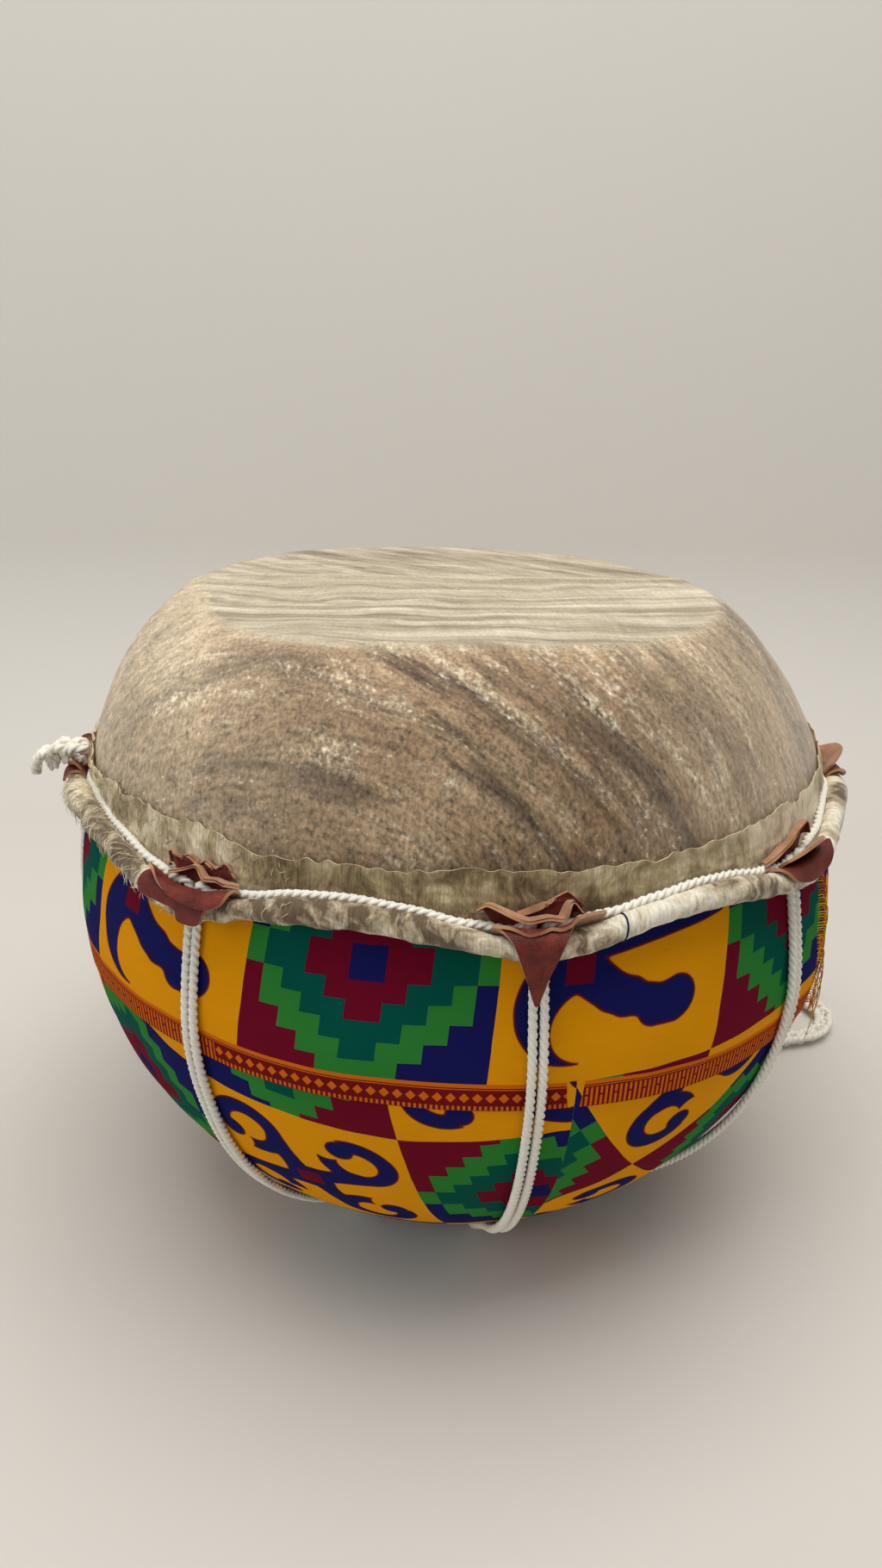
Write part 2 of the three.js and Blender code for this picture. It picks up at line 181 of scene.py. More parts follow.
def sheet_arrays(grid, thickness, layers, wrap=False):
    """Points, faces, UVs and face sides of a closed sheet: grid is its outer face, thickness its depth.
    Side 0 is the outer face, 1 the inner one and 2 the rim. wrap joins the last column to the first."""
    n, m = grid.shape[:2]
    inner = grid - grid_normals(grid, wrap) * np.reshape(thickness, np.shape(thickness) + (1,))
    points = np.concatenate([grid.reshape(-1, 3), inner.reshape(-1, 3)])
    columns = n if wrap else n - 1
    i, j = (a.ravel() for a in np.meshgrid(np.arange(columns), np.arange(m - 1), indexing="ij"))
    cell = np.stack([[i, j], [i + 1, j], [i + 1, j + 1], [i, j + 1]])
    parts = [(cell, (0, 0, 0, 0), 0), (cell[::-1], (1, 1, 1, 1), 1)]
    c = np.arange(columns)
    low, high = np.zeros(columns, int), np.full(columns, m - 1)
    rims = [[[c + 1, low], [c, low]], [[c, high], [c + 1, high]]]
    if not wrap:
        r = np.arange(m - 1)
        first, last = np.zeros(m - 1, int), np.full(m - 1, n - 1)
        rims += [[[first, r], [first, r + 1]], [[last, r + 1], [last, r]]]
    parts += [(np.stack([a, b, b, a]), (0, 0, 1, 1), 2) for a, b in rims]
    faces, uvs, sides = [], {key: [] for key in layers}, []
    for corners, side, number in parts:
        corners = corners.transpose(2, 0, 1)
        faces.append((corners[..., 0] % n) * m + corners[..., 1] + np.array(side) * n * m)
        for key, uv in layers.items():
            uvs[key].append(uv[corners[..., 0], corners[..., 1]])
        sides.append(np.full(len(corners), number))
    return points, faces, uvs, sides


def joined_object(name, parts, materials, sharp=50):
    """One object from several meshes' arrays.

    A sheet takes a material each for its outer face, its inner face and its rim.
    """
    points, faces, uvs, sides, offset = [], [], {}, [], 0
    for part_points, part_faces, layers, part_sides in parts:
        points.append(part_points)
        faces.extend(corners + offset for corners in part_faces)
        sides.extend(part_sides)
        for key, corners in layers.items():
            uvs.setdefault(key, []).extend(corners)
        offset += len(part_points)
    return mesh_object(name, np.concatenate(points), faces, uvs, materials, np.concatenate(sides), sharp)


def smooth_path(points, step):
    """A centripetal Catmull-Rom curve through points, at even steps."""
    p = np.asarray(points, float)
    p = np.vstack([2 * p[0] - p[1], p, 2 * p[-1] - p[-2]])
    knots = np.cumsum(np.r_[0, np.sqrt(np.linalg.norm(np.diff(p, axis=0), axis=1))])
    pieces = []
    for i in range(1, len(p) - 2):
        t0, t1, t2, t3 = knots[i - 1 : i + 3]
        t = np.linspace(t1, t2, 14, endpoint=False)[:, None]
        a1 = ((t1 - t) * p[i - 1] + (t - t0) * p[i]) / (t1 - t0)
        a2 = ((t2 - t) * p[i] + (t - t1) * p[i + 1]) / (t2 - t1)
        a3 = ((t3 - t) * p[i + 1] + (t - t2) * p[i + 2]) / (t3 - t2)
        b1 = ((t2 - t) * a1 + (t - t0) * a2) / (t2 - t0)
        b2 = ((t3 - t) * a2 + (t - t1) * a3) / (t3 - t1)
        pieces.append(((t2 - t) * b1 + (t - t1) * b2) / (t2 - t1))
    pieces.append(p[-2:-1])
    return even_steps(np.vstack(pieces), step)


def lengths_along(line):
    return np.cumsum(np.r_[0, np.linalg.norm(np.diff(line, axis=0), axis=1)])


def even_steps(line, step):
    along = lengths_along(line)
    count = max(2, round(along[-1] / step) + 1)
    s = np.linspace(0, along[-1], count)
    return np.column_stack([np.interp(s, along, line[:, k]) for k in range(3)])


def frames_along(line):
    """Tangent, side and up vectors along a line, turning no more than the line makes them."""
    tangent = np.gradient(line, axis=0)
    tangent /= np.linalg.norm(tangent, axis=1, keepdims=True)
    side = np.zeros_like(line)
    last = np.cross(tangent[0], (0, 0, 1))
    if np.linalg.norm(last) < 1e-3:
        last = np.cross(tangent[0], (1, 0, 0))
    for i, t in enumerate(tangent):
        last = last - t * (last @ t)
        last /= np.linalg.norm(last)
        side[i] = last
    return tangent, side, np.cross(side, tangent)


def tube_arrays(line, reach, turn):
    """Points and faces of a tube along a line: reach[i, j] from the line at angle turn[i, j]."""
    _, side, up = frames_along(line)
    rows, sides = reach.shape
    ring = side[:, None] * np.cos(turn)[..., None] + up[:, None] * np.sin(turn)[..., None]
    points = np.concatenate([(line[:, None] + ring * reach[..., None]).reshape(-1, 3), line[[0, -1]]])
    i, j = (a.ravel() for a in np.meshgrid(np.arange(rows - 1), np.arange(sides), indexing="ij"))
    k = (j + 1) % sides
    quads = np.stack([i * sides + j, i * sides + k, (i + 1) * sides + k, (i + 1) * sides + j], axis=1)
    s = np.arange(sides)
    first = np.stack([np.full(sides, rows * sides), (s + 1) % sides, s], axis=1)
    base = (rows - 1) * sides
    last = np.stack([np.full(sides, rows * sides + 1), base + s, base + (s + 1) % sides], axis=1)
    along = lengths_along(line) * 100
    quad_uv = np.stack([
        np.stack([along[i], j / sides], 1), np.stack([along[i], (j + 1) / sides], 1),
        np.stack([along[i + 1], (j + 1) / sides], 1), np.stack([along[i + 1], j / sides], 1),
    ], axis=1)
    end_uv = [np.full((sides, 3, 2), along[0]), np.full((sides, 3, 2), along[-1])]
    faces = [quads, first, last]
    return points, faces, {"print": [quad_uv, *end_uv]}, [np.zeros(len(f), int) for f in faces]


TUBE_SHARP = 80


def joined_tubes(name, tubes, material):
    return joined_object(name, tubes, [material], TUBE_SHARP)


# One strand of a rope, as shares of the rope's radius, and the angles of its outline's corners.
LOBE_SPREAD = np.radians([-60, -38, -18, 0, 18, 38])
LOBE_CENTRE, LOBE_RADIUS = 0.43, 0.57


def laid_rope(line, radius, pitch, seed=0):
    """A rope of three strands laid round each other along a line of even steps."""
    lobe = LOBE_CENTRE * np.cos(LOBE_SPREAD)
    lobe = lobe + np.sqrt(LOBE_RADIUS**2 - (LOBE_CENTRE * np.sin(LOBE_SPREAD)) ** 2)
    reach = radius * np.tile(lobe, 3)
    angles = np.concatenate([LOBE_SPREAD + k * 2 * np.pi / 3 for k in range(3)])
    along = lengths_along(line)
    turn = angles[None] + (along * 2 * np.pi / pitch)[:, None]
    swell = 1 + 0.03 * waves(line, 0.03, 50 + seed)[:, None]
    return tube_arrays(line, reach[None] * swell, turn)


# ---------------------------------------------------------------- materials
class Value:
    """A node socket that can be used in sums."""

    def __init__(self, tree, socket):
        self.tree, self.socket = tree, socket

    def math(self, operation, *others, clamp=False):
        node = self.tree.nodes.new("ShaderNodeMath")
        node.operation = operation
        node.use_clamp = clamp
        for slot, value in zip(node.inputs, (self, *others)):
            if isinstance(value, Value):
                self.tree.links.new(value.socket, slot)
            else:
                slot.default_value = value
        return Value(self.tree, node.outputs[0])

    def __neg__(self):
        return self.math("MULTIPLY", -1.0)

    def __abs__(self):
        return self.math("ABSOLUTE")

    def rest(self):
        """1 minus the value."""
        return self.math("MULTIPLY", -1.0).math("ADD", 1.0)

    def above(self, edge, soft=0.0):
        """1 where the value is over an edge, with a soft step of the given width."""
        if not soft:
            return self.math("GREATER_THAN", edge)
        return ((self - edge) * (1 / soft)).math("ADD", 0.5, clamp=True)

    def below(self, edge, soft=0.0):
        if not soft:
            return self.math("LESS_THAN", edge)
        return ((self - edge) * (-1 / soft)).math("ADD", 0.5, clamp=True)

    def level(self, low, high):
        """0 at low, 1 at high, held outside them."""
        return ((self - low) * (1 / (high - low))).math("ADD", 0.0, clamp=True)


SUMS = {"__add__": "ADD", "__sub__": "SUBTRACT", "__mul__": "MULTIPLY", "most": "MAXIMUM"}
for method, operation in SUMS.items():
    setattr(Value, method, lambda self, other, operation=operation: self.math(operation, other))


def linear(red, green, blue):
    """A colour given in screen values of 0 to 255."""
    def one(c):
        c /= 255
        return c / 12.92 if c <= 0.04045 else ((c + 0.055) / 1.055) ** 2.4
    return (one(red), one(green), one(blue), 1.0)


class Look:
    """A material being made: its node tree and the few kinds of node that the looks use."""

    def __init__(self, name, roughness, specular, sheen=0.0):
        self.material = bpy.data.materials.new(name)
        self.material.use_nodes = True
        self.tree = self.material.node_tree
        self.shader = self.tree.nodes["Principled BSDF"]
        self.shader.inputs["Roughness"].default_value = roughness
        self.shader.inputs["Specular IOR Level"].default_value = specular
        self.shader.inputs["Sheen Weight"].default_value = sheen
        self.shader.inputs["Sheen Roughness"].default_value = 0.5
        self.shader.inputs["Sheen Tint"].default_value = (1, 1, 1, 1)

    def node(self, kind, **settings):
        made = self.tree.nodes.new(kind)
        for key, value in settings.items():
            setattr(made, key, value)
        return made

    def feed(self, slot, value):
        if isinstance(value, Value):
            self.tree.links.new(value.socket, slot)
        elif isinstance(value, bpy.types.NodeSocket):
            self.tree.links.new(value, slot)
        else:
            slot.default_value = value

    def uv(self, layer):
        parts = self.node("ShaderNodeSeparateXYZ")
        self.tree.links.new(self.node("ShaderNodeUVMap", uv_map=layer).outputs[0], parts.inputs[0])
        return Value(self.tree, parts.outputs[0]), Value(self.tree, parts.outputs[1])

    def here(self):
        """The shaded point's place, in metres."""
        return self.node("ShaderNodeTexCoord").outputs["Object"]

    def place(self):
        parts = self.node("ShaderNodeSeparateXYZ")
        self.tree.links.new(self.here(), parts.inputs[0])
        return tuple(Value(self.tree, parts.outputs[k]) for k in range(3))

    def vector(self, x, y, z=0.0):
        made = self.node("ShaderNodeCombineXYZ")
        for slot, value in zip(made.inputs, (x, y, z)):
            self.feed(slot, value)
        return made.outputs[0]

    def noise(self, where, scale, detail=3.0, rough=0.55, warp=0.0):
        made = self.node("ShaderNodeTexNoise")
        self.feed(made.inputs["Vector"], where)
        made.inputs["Scale"].default_value = scale
        made.inputs["Detail"].default_value = detail
        made.inputs["Roughness"].default_value = rough
        made.inputs["Distortion"].default_value = warp
        return Value(self.tree, made.outputs[0])

    def mix(self, share, first, second):
        made = self.node("ShaderNodeMix", data_type="RGBA")
        self.feed(made.inputs[0], share)
        self.feed(made.inputs[6], first)
        self.feed(made.inputs[7], second)
        return made.outputs[2]

    def times(self, colour, factor):
        """A colour made lighter or darker by a grey factor."""
        made = self.node("ShaderNodeMix", data_type="RGBA", blend_type="MULTIPLY")
        made.inputs[0].default_value = 1.0
        self.feed(made.inputs[6], colour)
        self.feed(made.inputs[7], self.vector(factor, factor, factor))
        return made.outputs[2]

    def ramp(self, value, *stops):
        made = self.node("ShaderNodeValToRGB")
        self.feed(made.inputs[0], value)
        elements = made.color_ramp.elements
        while len(elements) < len(stops):
            elements.new(0.5)
        for element, (position, colour) in zip(elements, stops):
            element.position = position
            element.color = colour
        return made.outputs[0]

    def colour(self, value):
        self.feed(self.shader.inputs["Base Color"], value)

    def rough(self, value):
        self.feed(self.shader.inputs["Roughness"], value)

    def bump(self, height, distance, strength=1.0, before=None):
        made = self.node("ShaderNodeBump")
        made.inputs["Strength"].default_value = strength
        made.inputs["Distance"].default_value = distance
        self.feed(made.inputs["Height"], height)
        if before is not None:
            self.tree.links.new(before, made.inputs["Normal"])
        self.tree.links.new(made.outputs[0], self.shader.inputs["Normal"])
        return made.outputs[0]


GOLD = linear(226, 150, 8)
NAVY = linear(22, 24, 86)
MAROON = linear(108, 10, 36)
TEAL = linear(0, 80, 68)
GREEN = linear(46, 126, 50)
OUTLINE = linear(104, 14, 16)
ORANGE = linear(208, 104, 16)
SELVEDGE = linear(112, 20, 22)


def disc(x, y, centre_x, centre_y, radius):
    """Distance outside a disc, below 0 inside it."""
    dx, dy = x - centre_x, y - centre_y
    return (dx * dx + dy * dy).math("SQRT") - radius


def rod_shape(x, y, start, end, start_radius, end_radius):
    """Distance outside a bar with round ends, which may taper."""
    way = (end[0] - start[0], end[1] - start[1])
    square = way[0] ** 2 + way[1] ** 2
    along = ((x - start[0]) * way[0] + (y - start[1]) * way[1]) * (1 / square)
    share = along.math("ADD", 0.0, clamp=True)
    dx, dy = x - start[0] - share * way[0], y - start[1] - share * way[1]
    return (dx * dx + dy * dy).math("SQRT") - (share * (end_radius - start_radius) + start_radius)


def melt(first, second, width):
    return first.math("SMOOTH_MIN", second, width)


STEP_ACROSS, STEP_UP = 0.0875, 0.080


def stepped_diamond(look, x, y, turned):
    """The cell of stepped diamonds, in cell widths from its centre."""
    ix = ((abs(x) - 0.07) * (1 / STEP_ACROSS)).math("CEIL").most(0.0)
    iy = ((abs(y) - 0.07) * (1 / STEP_UP)).math("CEIL").most(0.0)
    far = ix + iy
    same = abs(x.above(0.0) + y.above(0.0) - 1.0).above(0.5)
    background = look.mix(same, MAROON, NAVY) if turned else look.mix(same, NAVY, MAROON)
    edge = far.below(6.5) * (ix.below(4.5).most(iy.below(0.5)))
    colour = look.mix(edge, background, GREEN)
    colour = look.mix(far.below(4.5), colour, TEAL)
    colour = look.mix(far.below(2.5), colour, MAROON)
    return look.mix(far.below(0.5), colour, NAVY)


def navy_on_gold(look, figure, centre):
    """A navy figure with a thin dark outline and a maroon middle, on gold."""
    colour = look.mix(figure.below(0.008, 0.006), GOLD, OUTLINE)
    colour = look.mix(figure.below(0.0, 0.006), colour, NAVY)
    return look.mix(centre.below(0.0, 0.006), colour, MAROON)


def cloud_motif(look, x, y):
    """The gold cell of the upper cloth: a navy figure with a horn, a lobed arm and a wing."""
    p, q = x + 0.19, y + 0.025
    horn = disc(p, q, 0.01, -0.14, 0.249).most(-disc(p, q, 0.06, -0.235, 0.160)).most(p - 0.035)
    shoulder = rod_shape(p, q, (0.03, -0.02), (0.15, -0.11), 0.078, 0.070)
    middle = rod_shape(p, q, (0.15, -0.11), (0.215, -0.137), 0.070, 0.077)
    head = rod_shape(p, q, (0.355, -0.200), (0.435, -0.190), 0.078, 0.092)
    neck = rod_shape(p, q, (0.215, -0.140), (0.355, -0.180), 0.062, 0.062)
    arm = melt(melt(melt(shoulder, middle, 0.02), neck, 0.02), head, 0.02)
    wing = rod_shape(p, q, (0.10, 0.12), (0.62, 0.185), 0.080, 0.080)
    figure = melt(melt(horn, arm, 0.02), wing, 0.03)
    return navy_on_gold(look, figure, abs(p).most(abs(q)) - 0.057)


def scroll_motif(look, x, y):
    """The gold cell of the lower cloth: four navy scrolls round a maroon centre."""
    turned = (x * y).below(0.0)
    p = abs(x) * turned.rest() + abs(y) * turned
    q = abs(y) * turned.rest() + abs(x) * turned
    stem = rod_shape(p, q, (0.04, 0.04), (0.24, 0.10), 0.05, 0.045)
    curl = abs(disc(p, q, 0.27, 0.24, 0.135)) - 0.038
    curl = curl.most(-disc(p, q, 0.14, 0.34, 0.10))
    tip = disc(p, q, 0.21, 0.335, 0.055)
    figure = melt(melt(stem, curl, 0.03), tip, 0.02)
    figure = melt(figure, disc(x, y, 0.0, 0.0, 0.10), 0.05)
    return navy_on_gold(look, figure, abs(x).most(abs(y)) - 0.055)


def cell_of(value):
    """Which cell a value in cell widths falls in, and how far it is from that cell's middle."""
    number = value.math("FLOOR")
    return number, value - number - 0.5


def checker(look, across, up, motif, turned):
    """The print: gold cells and stepped ones by turns, in cell widths along both ways."""
    column, x = cell_of(across)
    row, y = cell_of(up)
    odd = (column + row).math("FLOORED_MODULO", 2.0).above(0.5)
    return look.mix(odd, motif(look, x, y), stepped_diamond(look, x, y, turned))


BAND = 0.0145


def selvedge_band(look, colour, along, height):
    """The woven edge: lines, tall ticks, and a row of plain lozenges; along and height in metres."""
    def ticks(pitch, share):
        return (along * (1 / pitch)).math("FRACT").below(share)
    def between(low, high):
        return height.above(low) * height.below(high)
    broken = ticks(0.0069, 0.33) * between(0.0058, 0.0068)
    tall = ticks(0.0023, 0.52) * between(0.0002, 0.0106) * broken.rest()
    short = ticks(0.0023, 0.50) * between(0.0002, 0.0026)
    lozenge = abs((along * (1 / 0.0056)).math("FRACT") - 0.5) * 1.6 + abs(height - 0.0070) * 250.0
    plain = short.most(lozenge.below(0.64))
    worded = abs(along + 0.0315).below(0.0805)
    shown = tall * worded.rest() + plain * worded
    lines = between(0.0113, 0.0118).most(between(0.0124, BAND))
    made = look.mix(shown.most(lines), SELVEDGE, ORANGE)
    return look.mix(between(-0.001, BAND), colour, made)


THREAD = 0.0005


def weave(look, colour, along, up):
    """Plain weave: its threads in the colour and the bump, with a little fading."""
    warp = (along * (2 * math.pi / THREAD)).math("SINE")
    weft = (up * (2 * math.pi / THREAD)).math("SINE")
    threads = warp * weft
    worn = look.noise(look.here(), 26.0, 4.0, 0.6)
    slub = look.noise(look.vector(along * 60.0, up * 2600.0), 1.0, 1.0)
    factor = worn * 0.22 + 0.89 + threads * 0.05 + (slub - 0.5) * 0.16
    look.colour(look.times(colour, factor))
    look.bump(threads + slub * 1.4, 0.00008, 0.6)
    return look.material


def print_look(name, motif, turned, with_selvedge):
    look = Look(name, 0.92, 0.05)
    across, up = look.uv("print")
    along, height = look.uv("edge")
    wander = look.noise(look.vector(along * 30.0, height * 30.0), 1.0, 2.0) - 0.5
    colour = checker(look, across + wander * 0.012, up + wander * 0.008, motif, turned)
    if with_selvedge:
        colour = selvedge_band(look, colour, along, height)
    return weave(look, colour, along, height)


def mottled_look(name, roughness, specular, dark, light, scale, detail=3.0, bump=None):
    """A plain material whose colour wanders between two, with a bump of the same pattern if one is given."""
    look = Look(name, roughness, specular)
    mottle = look.noise(look.here(), scale, detail)
    look.colour(look.mix(mottle, dark, light))
    if bump:
        look.bump(mottle, *bump)
    return look.material


def cloth_back():
    return mottled_look("cloth_back", 0.9, 0.1, linear(150, 96, 30), linear(120, 70, 40), 40.0)


def raw_edge_look():
    return mottled_look("raw_edge", 0.8, 0.2, linear(176, 156, 120), linear(228, 214, 182), 260.0, 3.0,
                        (0.0003, 0.6))


def rope_look():
    """White cotton: fibres along the strands, and a little grime in patches."""
    look = Look("cotton", 0.9, 0.15, 0.25)
    along, across = look.uv("print")
    fibre = look.noise(look.vector(along * 2.2, across * 46.0), 1.0, 3.0, 0.7)
    fluff = look.noise(look.vector(along * 9.0, across * 12.0), 1.0, 3.0, 0.7)
    grime = look.noise(look.here(), 34.0, 3.0)
    shade = fibre * 0.22 + fluff * 0.14 + grime * 0.12 + 0.78
    look.colour(look.times(linear(244, 240, 226), shade))
    look.bump(fibre + fluff * 0.7, 0.0002, 0.8)
    return look.material


def leather_looks():
    """Grain side and flesh side of the red-brown washers."""
    grain = Look("leather_grain", 0.5, 0.28)
    u, v = grain.uv("print")
    cell = grain.node("ShaderNodeTexVoronoi", feature="DISTANCE_TO_EDGE")
    grain.feed(cell.inputs["Vector"], grain.vector(u, v))
    cell.inputs["Scale"].default_value = 900.0
    pebble = Value(grain.tree, cell.outputs["Distance"]).level(0.0, 0.25)
    scuff = grain.noise(grain.vector(u, v), 90.0, 5.0, 0.65)
    colour = grain.mix(scuff.level(0.35, 0.7), linear(82, 24, 18), linear(132, 50, 34))
    grain.colour(grain.times(colour, pebble * 0.22 + 0.82))
    grain.rough(scuff * 0.3 + 0.34)
    grain.bump(pebble, 0.00018, 0.7)

    flesh = Look("leather_flesh", 0.95, 0.1, 0.3)
    u, v = flesh.uv("print")
    nap = flesh.noise(flesh.vector(u, v), 420.0, 5.0, 0.7)
    patch = flesh.noise(flesh.vector(u, v), 60.0, 3.0)
    colour = flesh.mix(patch.level(0.3, 0.7), linear(140, 92, 62), linear(190, 144, 104))
    flesh.colour(flesh.times(colour, nap * 0.5 + 0.72))
    flesh.bump(nap, 0.0003, 0.8)
    return grain.material, flesh.material


def hide_base(look, streaks, broad, cream, grey):
    """Colour of haired skin: taupe brown, with dark and cream streaks and greyer patches."""
    colour = look.ramp(
        broad,
        (0.28, linear(130, 103, 74)),
        (0.50, linear(168, 142, 110)),
        (0.72, linear(194, 174, 142)),
    )
    colour = look.mix(streaks.level(0.50, 0.34) * 0.85, colour, linear(78, 60, 44))
    colour = look.mix(cream, colour, linear(226, 212, 184))
    return look.mix(grey, colour, linear(176, 163, 142))


def head_arcs(look, x, y, z, bend):
    """Dark, pale and fine streaks in arcs round a point low at the front left, and flecks along them."""
    dx, dy, dz = x + 0.075, y + 0.185, z - 0.190
    reach = (dx * dx + dy * dy * 0.3 + dz * dz).math("SQRT")
    ring = reach + (bend - 0.5) * 0.020
    turn = dx.math("ARCTAN2", dz)
    dark = look.noise(look.vector(ring * 80.0, turn * 1.3, y * 3.0), 1.0, 5.0, 0.6)
    pale = look.noise(look.vector(ring * 120.0 + 7.0, turn * 2.4, y * 5.0), 1.0, 5.0, 0.65)
    fine = look.noise(look.vector(ring * 420.0, turn * 16.0, y * 26.0), 1.0, 3.0, 0.6)
    fleck = look.noise(look.vector(ring * 520.0, turn * 60.0, y * 120.0), 1.0, 2.0, 0.6)
    return dark, pale, fine, fleck


def head_top(look, x, y, bend, patches):
    """The playing surface's colour: streaks run across it, and turn away beyond the fold."""
    beyond = y.level(FOLD_Y - 0.005, FOLD_Y + 0.005)
    slant = y * 0.62 - x * 0.78
    across_head = look.vector(x * 4.5 + bend * 1.5, y * 78.0 + (bend - 0.5) * 4.5)
    lines = look.noise(across_head, 1.0, 5.0, 0.62)
    far_lines = look.noise(look.vector(slant * 9.0, (x * 0.62 + y * 0.78) * 58.0), 1.0, 5.0, 0.65)
    top = look.ramp(
        lines * beyond.rest() + (far_lines - 0.03) * beyond,
        (0.30, linear(112, 98, 80)),
        (0.43, linear(162, 149, 124)),
        (0.54, linear(188, 176, 152)),
        (0.68, linear(212, 204, 182)),
    )
    thin = look.noise(look.vector(x * 14.0, y * 230.0 + (bend - 0.5) * 20.0), 1.0, 3.0)
    return look.mix(thin.level(0.56, 0.66) * patches.level(0.40, 0.60) * 0.8, top, linear(224, 216, 196))


def head_side(look, x, z, streaks, broad, patches):
    """The shoulder's colour: brown nap, greyer at the right and paler at the left."""
    dark, pale, _, fleck = streaks
    # low is 1 at the shoulder's foot: there the colour is painted darker, as shade, and the cream streaks
    # thin out.
    low = z.level(0.33, 0.262)
    cream = (pale * 0.7 + patches * 0.3).level(0.50, 0.62) * (low * -0.75 + 1.0)
    cream = (cream * fleck.level(0.40, 0.58) * 0.85).most(x.level(-0.02, -0.17) * 0.35)
    side = hide_base(look, dark, broad - low * 0.16, cream, x.level(0.05, 0.19) * 0.70)
    dapple = fleck.level(0.60, 0.70) * pale.level(0.46, 0.60)
    return look.mix(dapple * 0.8, side, linear(228, 216, 190))


def head_look():
    """The drumhead: grey and cream streaks on the flat, brown nap in arcs over the shoulder."""
    look = Look("drumhead", 0.72, 0.28, 0.12)
    x, y, z = look.place()
    here = look.here()
    bend = look.noise(here, 9.0, 2.0)
    broad = look.noise(here, 11.0, 3.0, 0.5)
    patches = look.noise(here, 17.0, 3.0, 0.6)
    speck = look.noise(look.vector(x, y, z * 0.55), 620.0, 2.0, 0.6)
    streaks = head_arcs(look, x, y, z, bend)
    dark, _, fine, _ = streaks
    zone, _ = look.uv("print")
    flat = (zone + (bend - 0.5) * 0.05).below(1.004, 0.022)
    side = head_side(look, x, z, streaks, broad, patches)
    colour = look.mix(flat, side, head_top(look, x, y, bend, patches))
    fold = abs(y - FOLD_Y).below(0.0022, 0.003) * flat
    colour = look.mix(fold * 0.5, colour, linear(214, 204, 182))
    edge_wear = abs(zone - 1.01).below(0.012, 0.03) * patches.level(0.35, 0.65)
    colour = look.mix(edge_wear * 0.5, colour, linear(206, 190, 160))
    # Painted shade and light: brown darkens the shoulder low at the front middle, and shade lightens it low
    # at the right.
    brown = (abs(x - 0.01).level(0.13, 0.02) * z.level(0.345, 0.315)) * -0.27
    shade = brown + x.level(0.05, 0.15) * z.level(0.345, 0.300) * 0.30
    # nap carries the hair's flecks and streaks together with that painted shade and light.
    nap = speck * (flat * -0.9 + 1.8) + fine * (flat * -0.9 + 1.5) + flat * 0.9 + shade - 0.62
    look.colour(look.times(colour, nap))
    look.rough(broad * 0.2 + 0.62)
    tilt = look.bump(speck, 0.00022, 0.5)
    look.bump(dark + fine * 0.5, 0.0006, 0.35, before=tilt)
    return look.material


def roll_look():
    """The roll and the turned-up edge: cream and olive fur, longest at the left, smoother at the front."""
    look = Look("rolled_hide", 0.85, 0.2, 0.2)
    x, _, _ = look.place()
    around, across = look.uv("print")
    here = look.here()
    swirl = look.noise(here, 30.0, 3.0, 0.6)
    hair = look.noise(look.vector(around * 1300.0 + swirl * 3.0, across * 110.0), 1.0, 4.0, 0.7)
    clump = look.noise(look.vector(around * 120.0 + swirl * 5.0, across * 70.0), 1.0, 4.0, 0.65)
    patch = look.noise(here, 22.0, 4.0, 0.6)
    on_roll = across.level(0.0215, 0.0265).rest()
    left = x.level(0.05, -0.09)
    sides = abs(x).level(0.05, 0.14) * 0.13
    cuff = look.ramp(
        patch * 0.80 + clump * 0.80 + sides - 0.275,
        (0.40, linear(110, 92, 62)),
        (0.52, linear(158, 138, 102)),
        (0.62, linear(190, 172, 134)),
        (0.74, linear(228, 214, 182)),
    )
    level = patch * 0.8 + clump * 0.9 - 0.37 - left * 0.02 + x.level(0.03, 0.10) * x.level(0.18, 0.13) * 0.08
    roll = look.ramp(
        level,
        (0.38, linear(104, 88, 66)),
        (0.47, linear(168, 152, 124)),
        (0.55, linear(206, 194, 166)),
        (0.66, linear(236, 229, 208)),
    )
    colour = look.mix(on_roll, cuff, roll)
    strands = (hair - 0.5) * (left * 0.7 + 1.5) + 0.97
    look.colour(look.times(colour, strands))
    tilt = look.bump(hair, 0.0008, 0.6)
    look.bump(clump, 0.0010, 0.5, before=tilt)
    return look.material


def fur_look():
    look = Look("fur", 0.75, 0.25, 0.2)
    patch = look.noise(look.here(), 60.0, 3.0)
    look.colour(look.ramp(patch, (0.36, linear(142, 124, 92)), (0.5, linear(200, 186, 152)),
                          (0.64, linear(236, 228, 204))))
    return look.material


def wood_look(name, dark, light, scale):
    look = Look(name, 0.55, 0.4)
    x, y, z = look.place()
    grain = look.noise(look.vector(x, y, z * 0.2), scale, 5.0, 0.6, 0.4)
    look.colour(look.mix(grain, dark, light))
    look.bump(grain, 0.0004, 0.4)
    return look.material


def iron_look():
    look = Look("iron", 0.5, 0.5)
    look.shader.inputs["Metallic"].default_value = 0.9
    rust = look.noise(look.here(), 120.0, 5.0, 0.65)
    look.colour(look.mix(rust.level(0.45, 0.7), linear(70, 66, 62), linear(104, 62, 40)))
    look.rough(rust * 0.5 + 0.3)
    look.bump(rust, 0.0003, 0.5)
    return look.material


def thread_look(name, colour):
    look = Look(name, 0.8, 0.2)
    along, across = look.uv("print")
    ply = (along * 24.0 + across * 6.283).math("SINE")
    look.colour(look.times(colour, ply * 0.15 + 0.85))
    return look.material


# ---------------------------------------------------------------- camera
LENS, CAMERA_PLACE, PITCH, CAMERA_ROLL = 25.71, (-0.0083, -0.595, 0.466), 21.3, 0.67


def stand(name, data, right, up, back, at):
    """An object of a camera or a light, facing away from back."""
    made = bpy.data.objects.new(name, data)
    bpy.context.scene.collection.objects.link(made)
    world = np.eye(4)
    world[:3] = np.column_stack([right, up, back, at])
    made.matrix_world = Matrix(world.tolist())
    return made


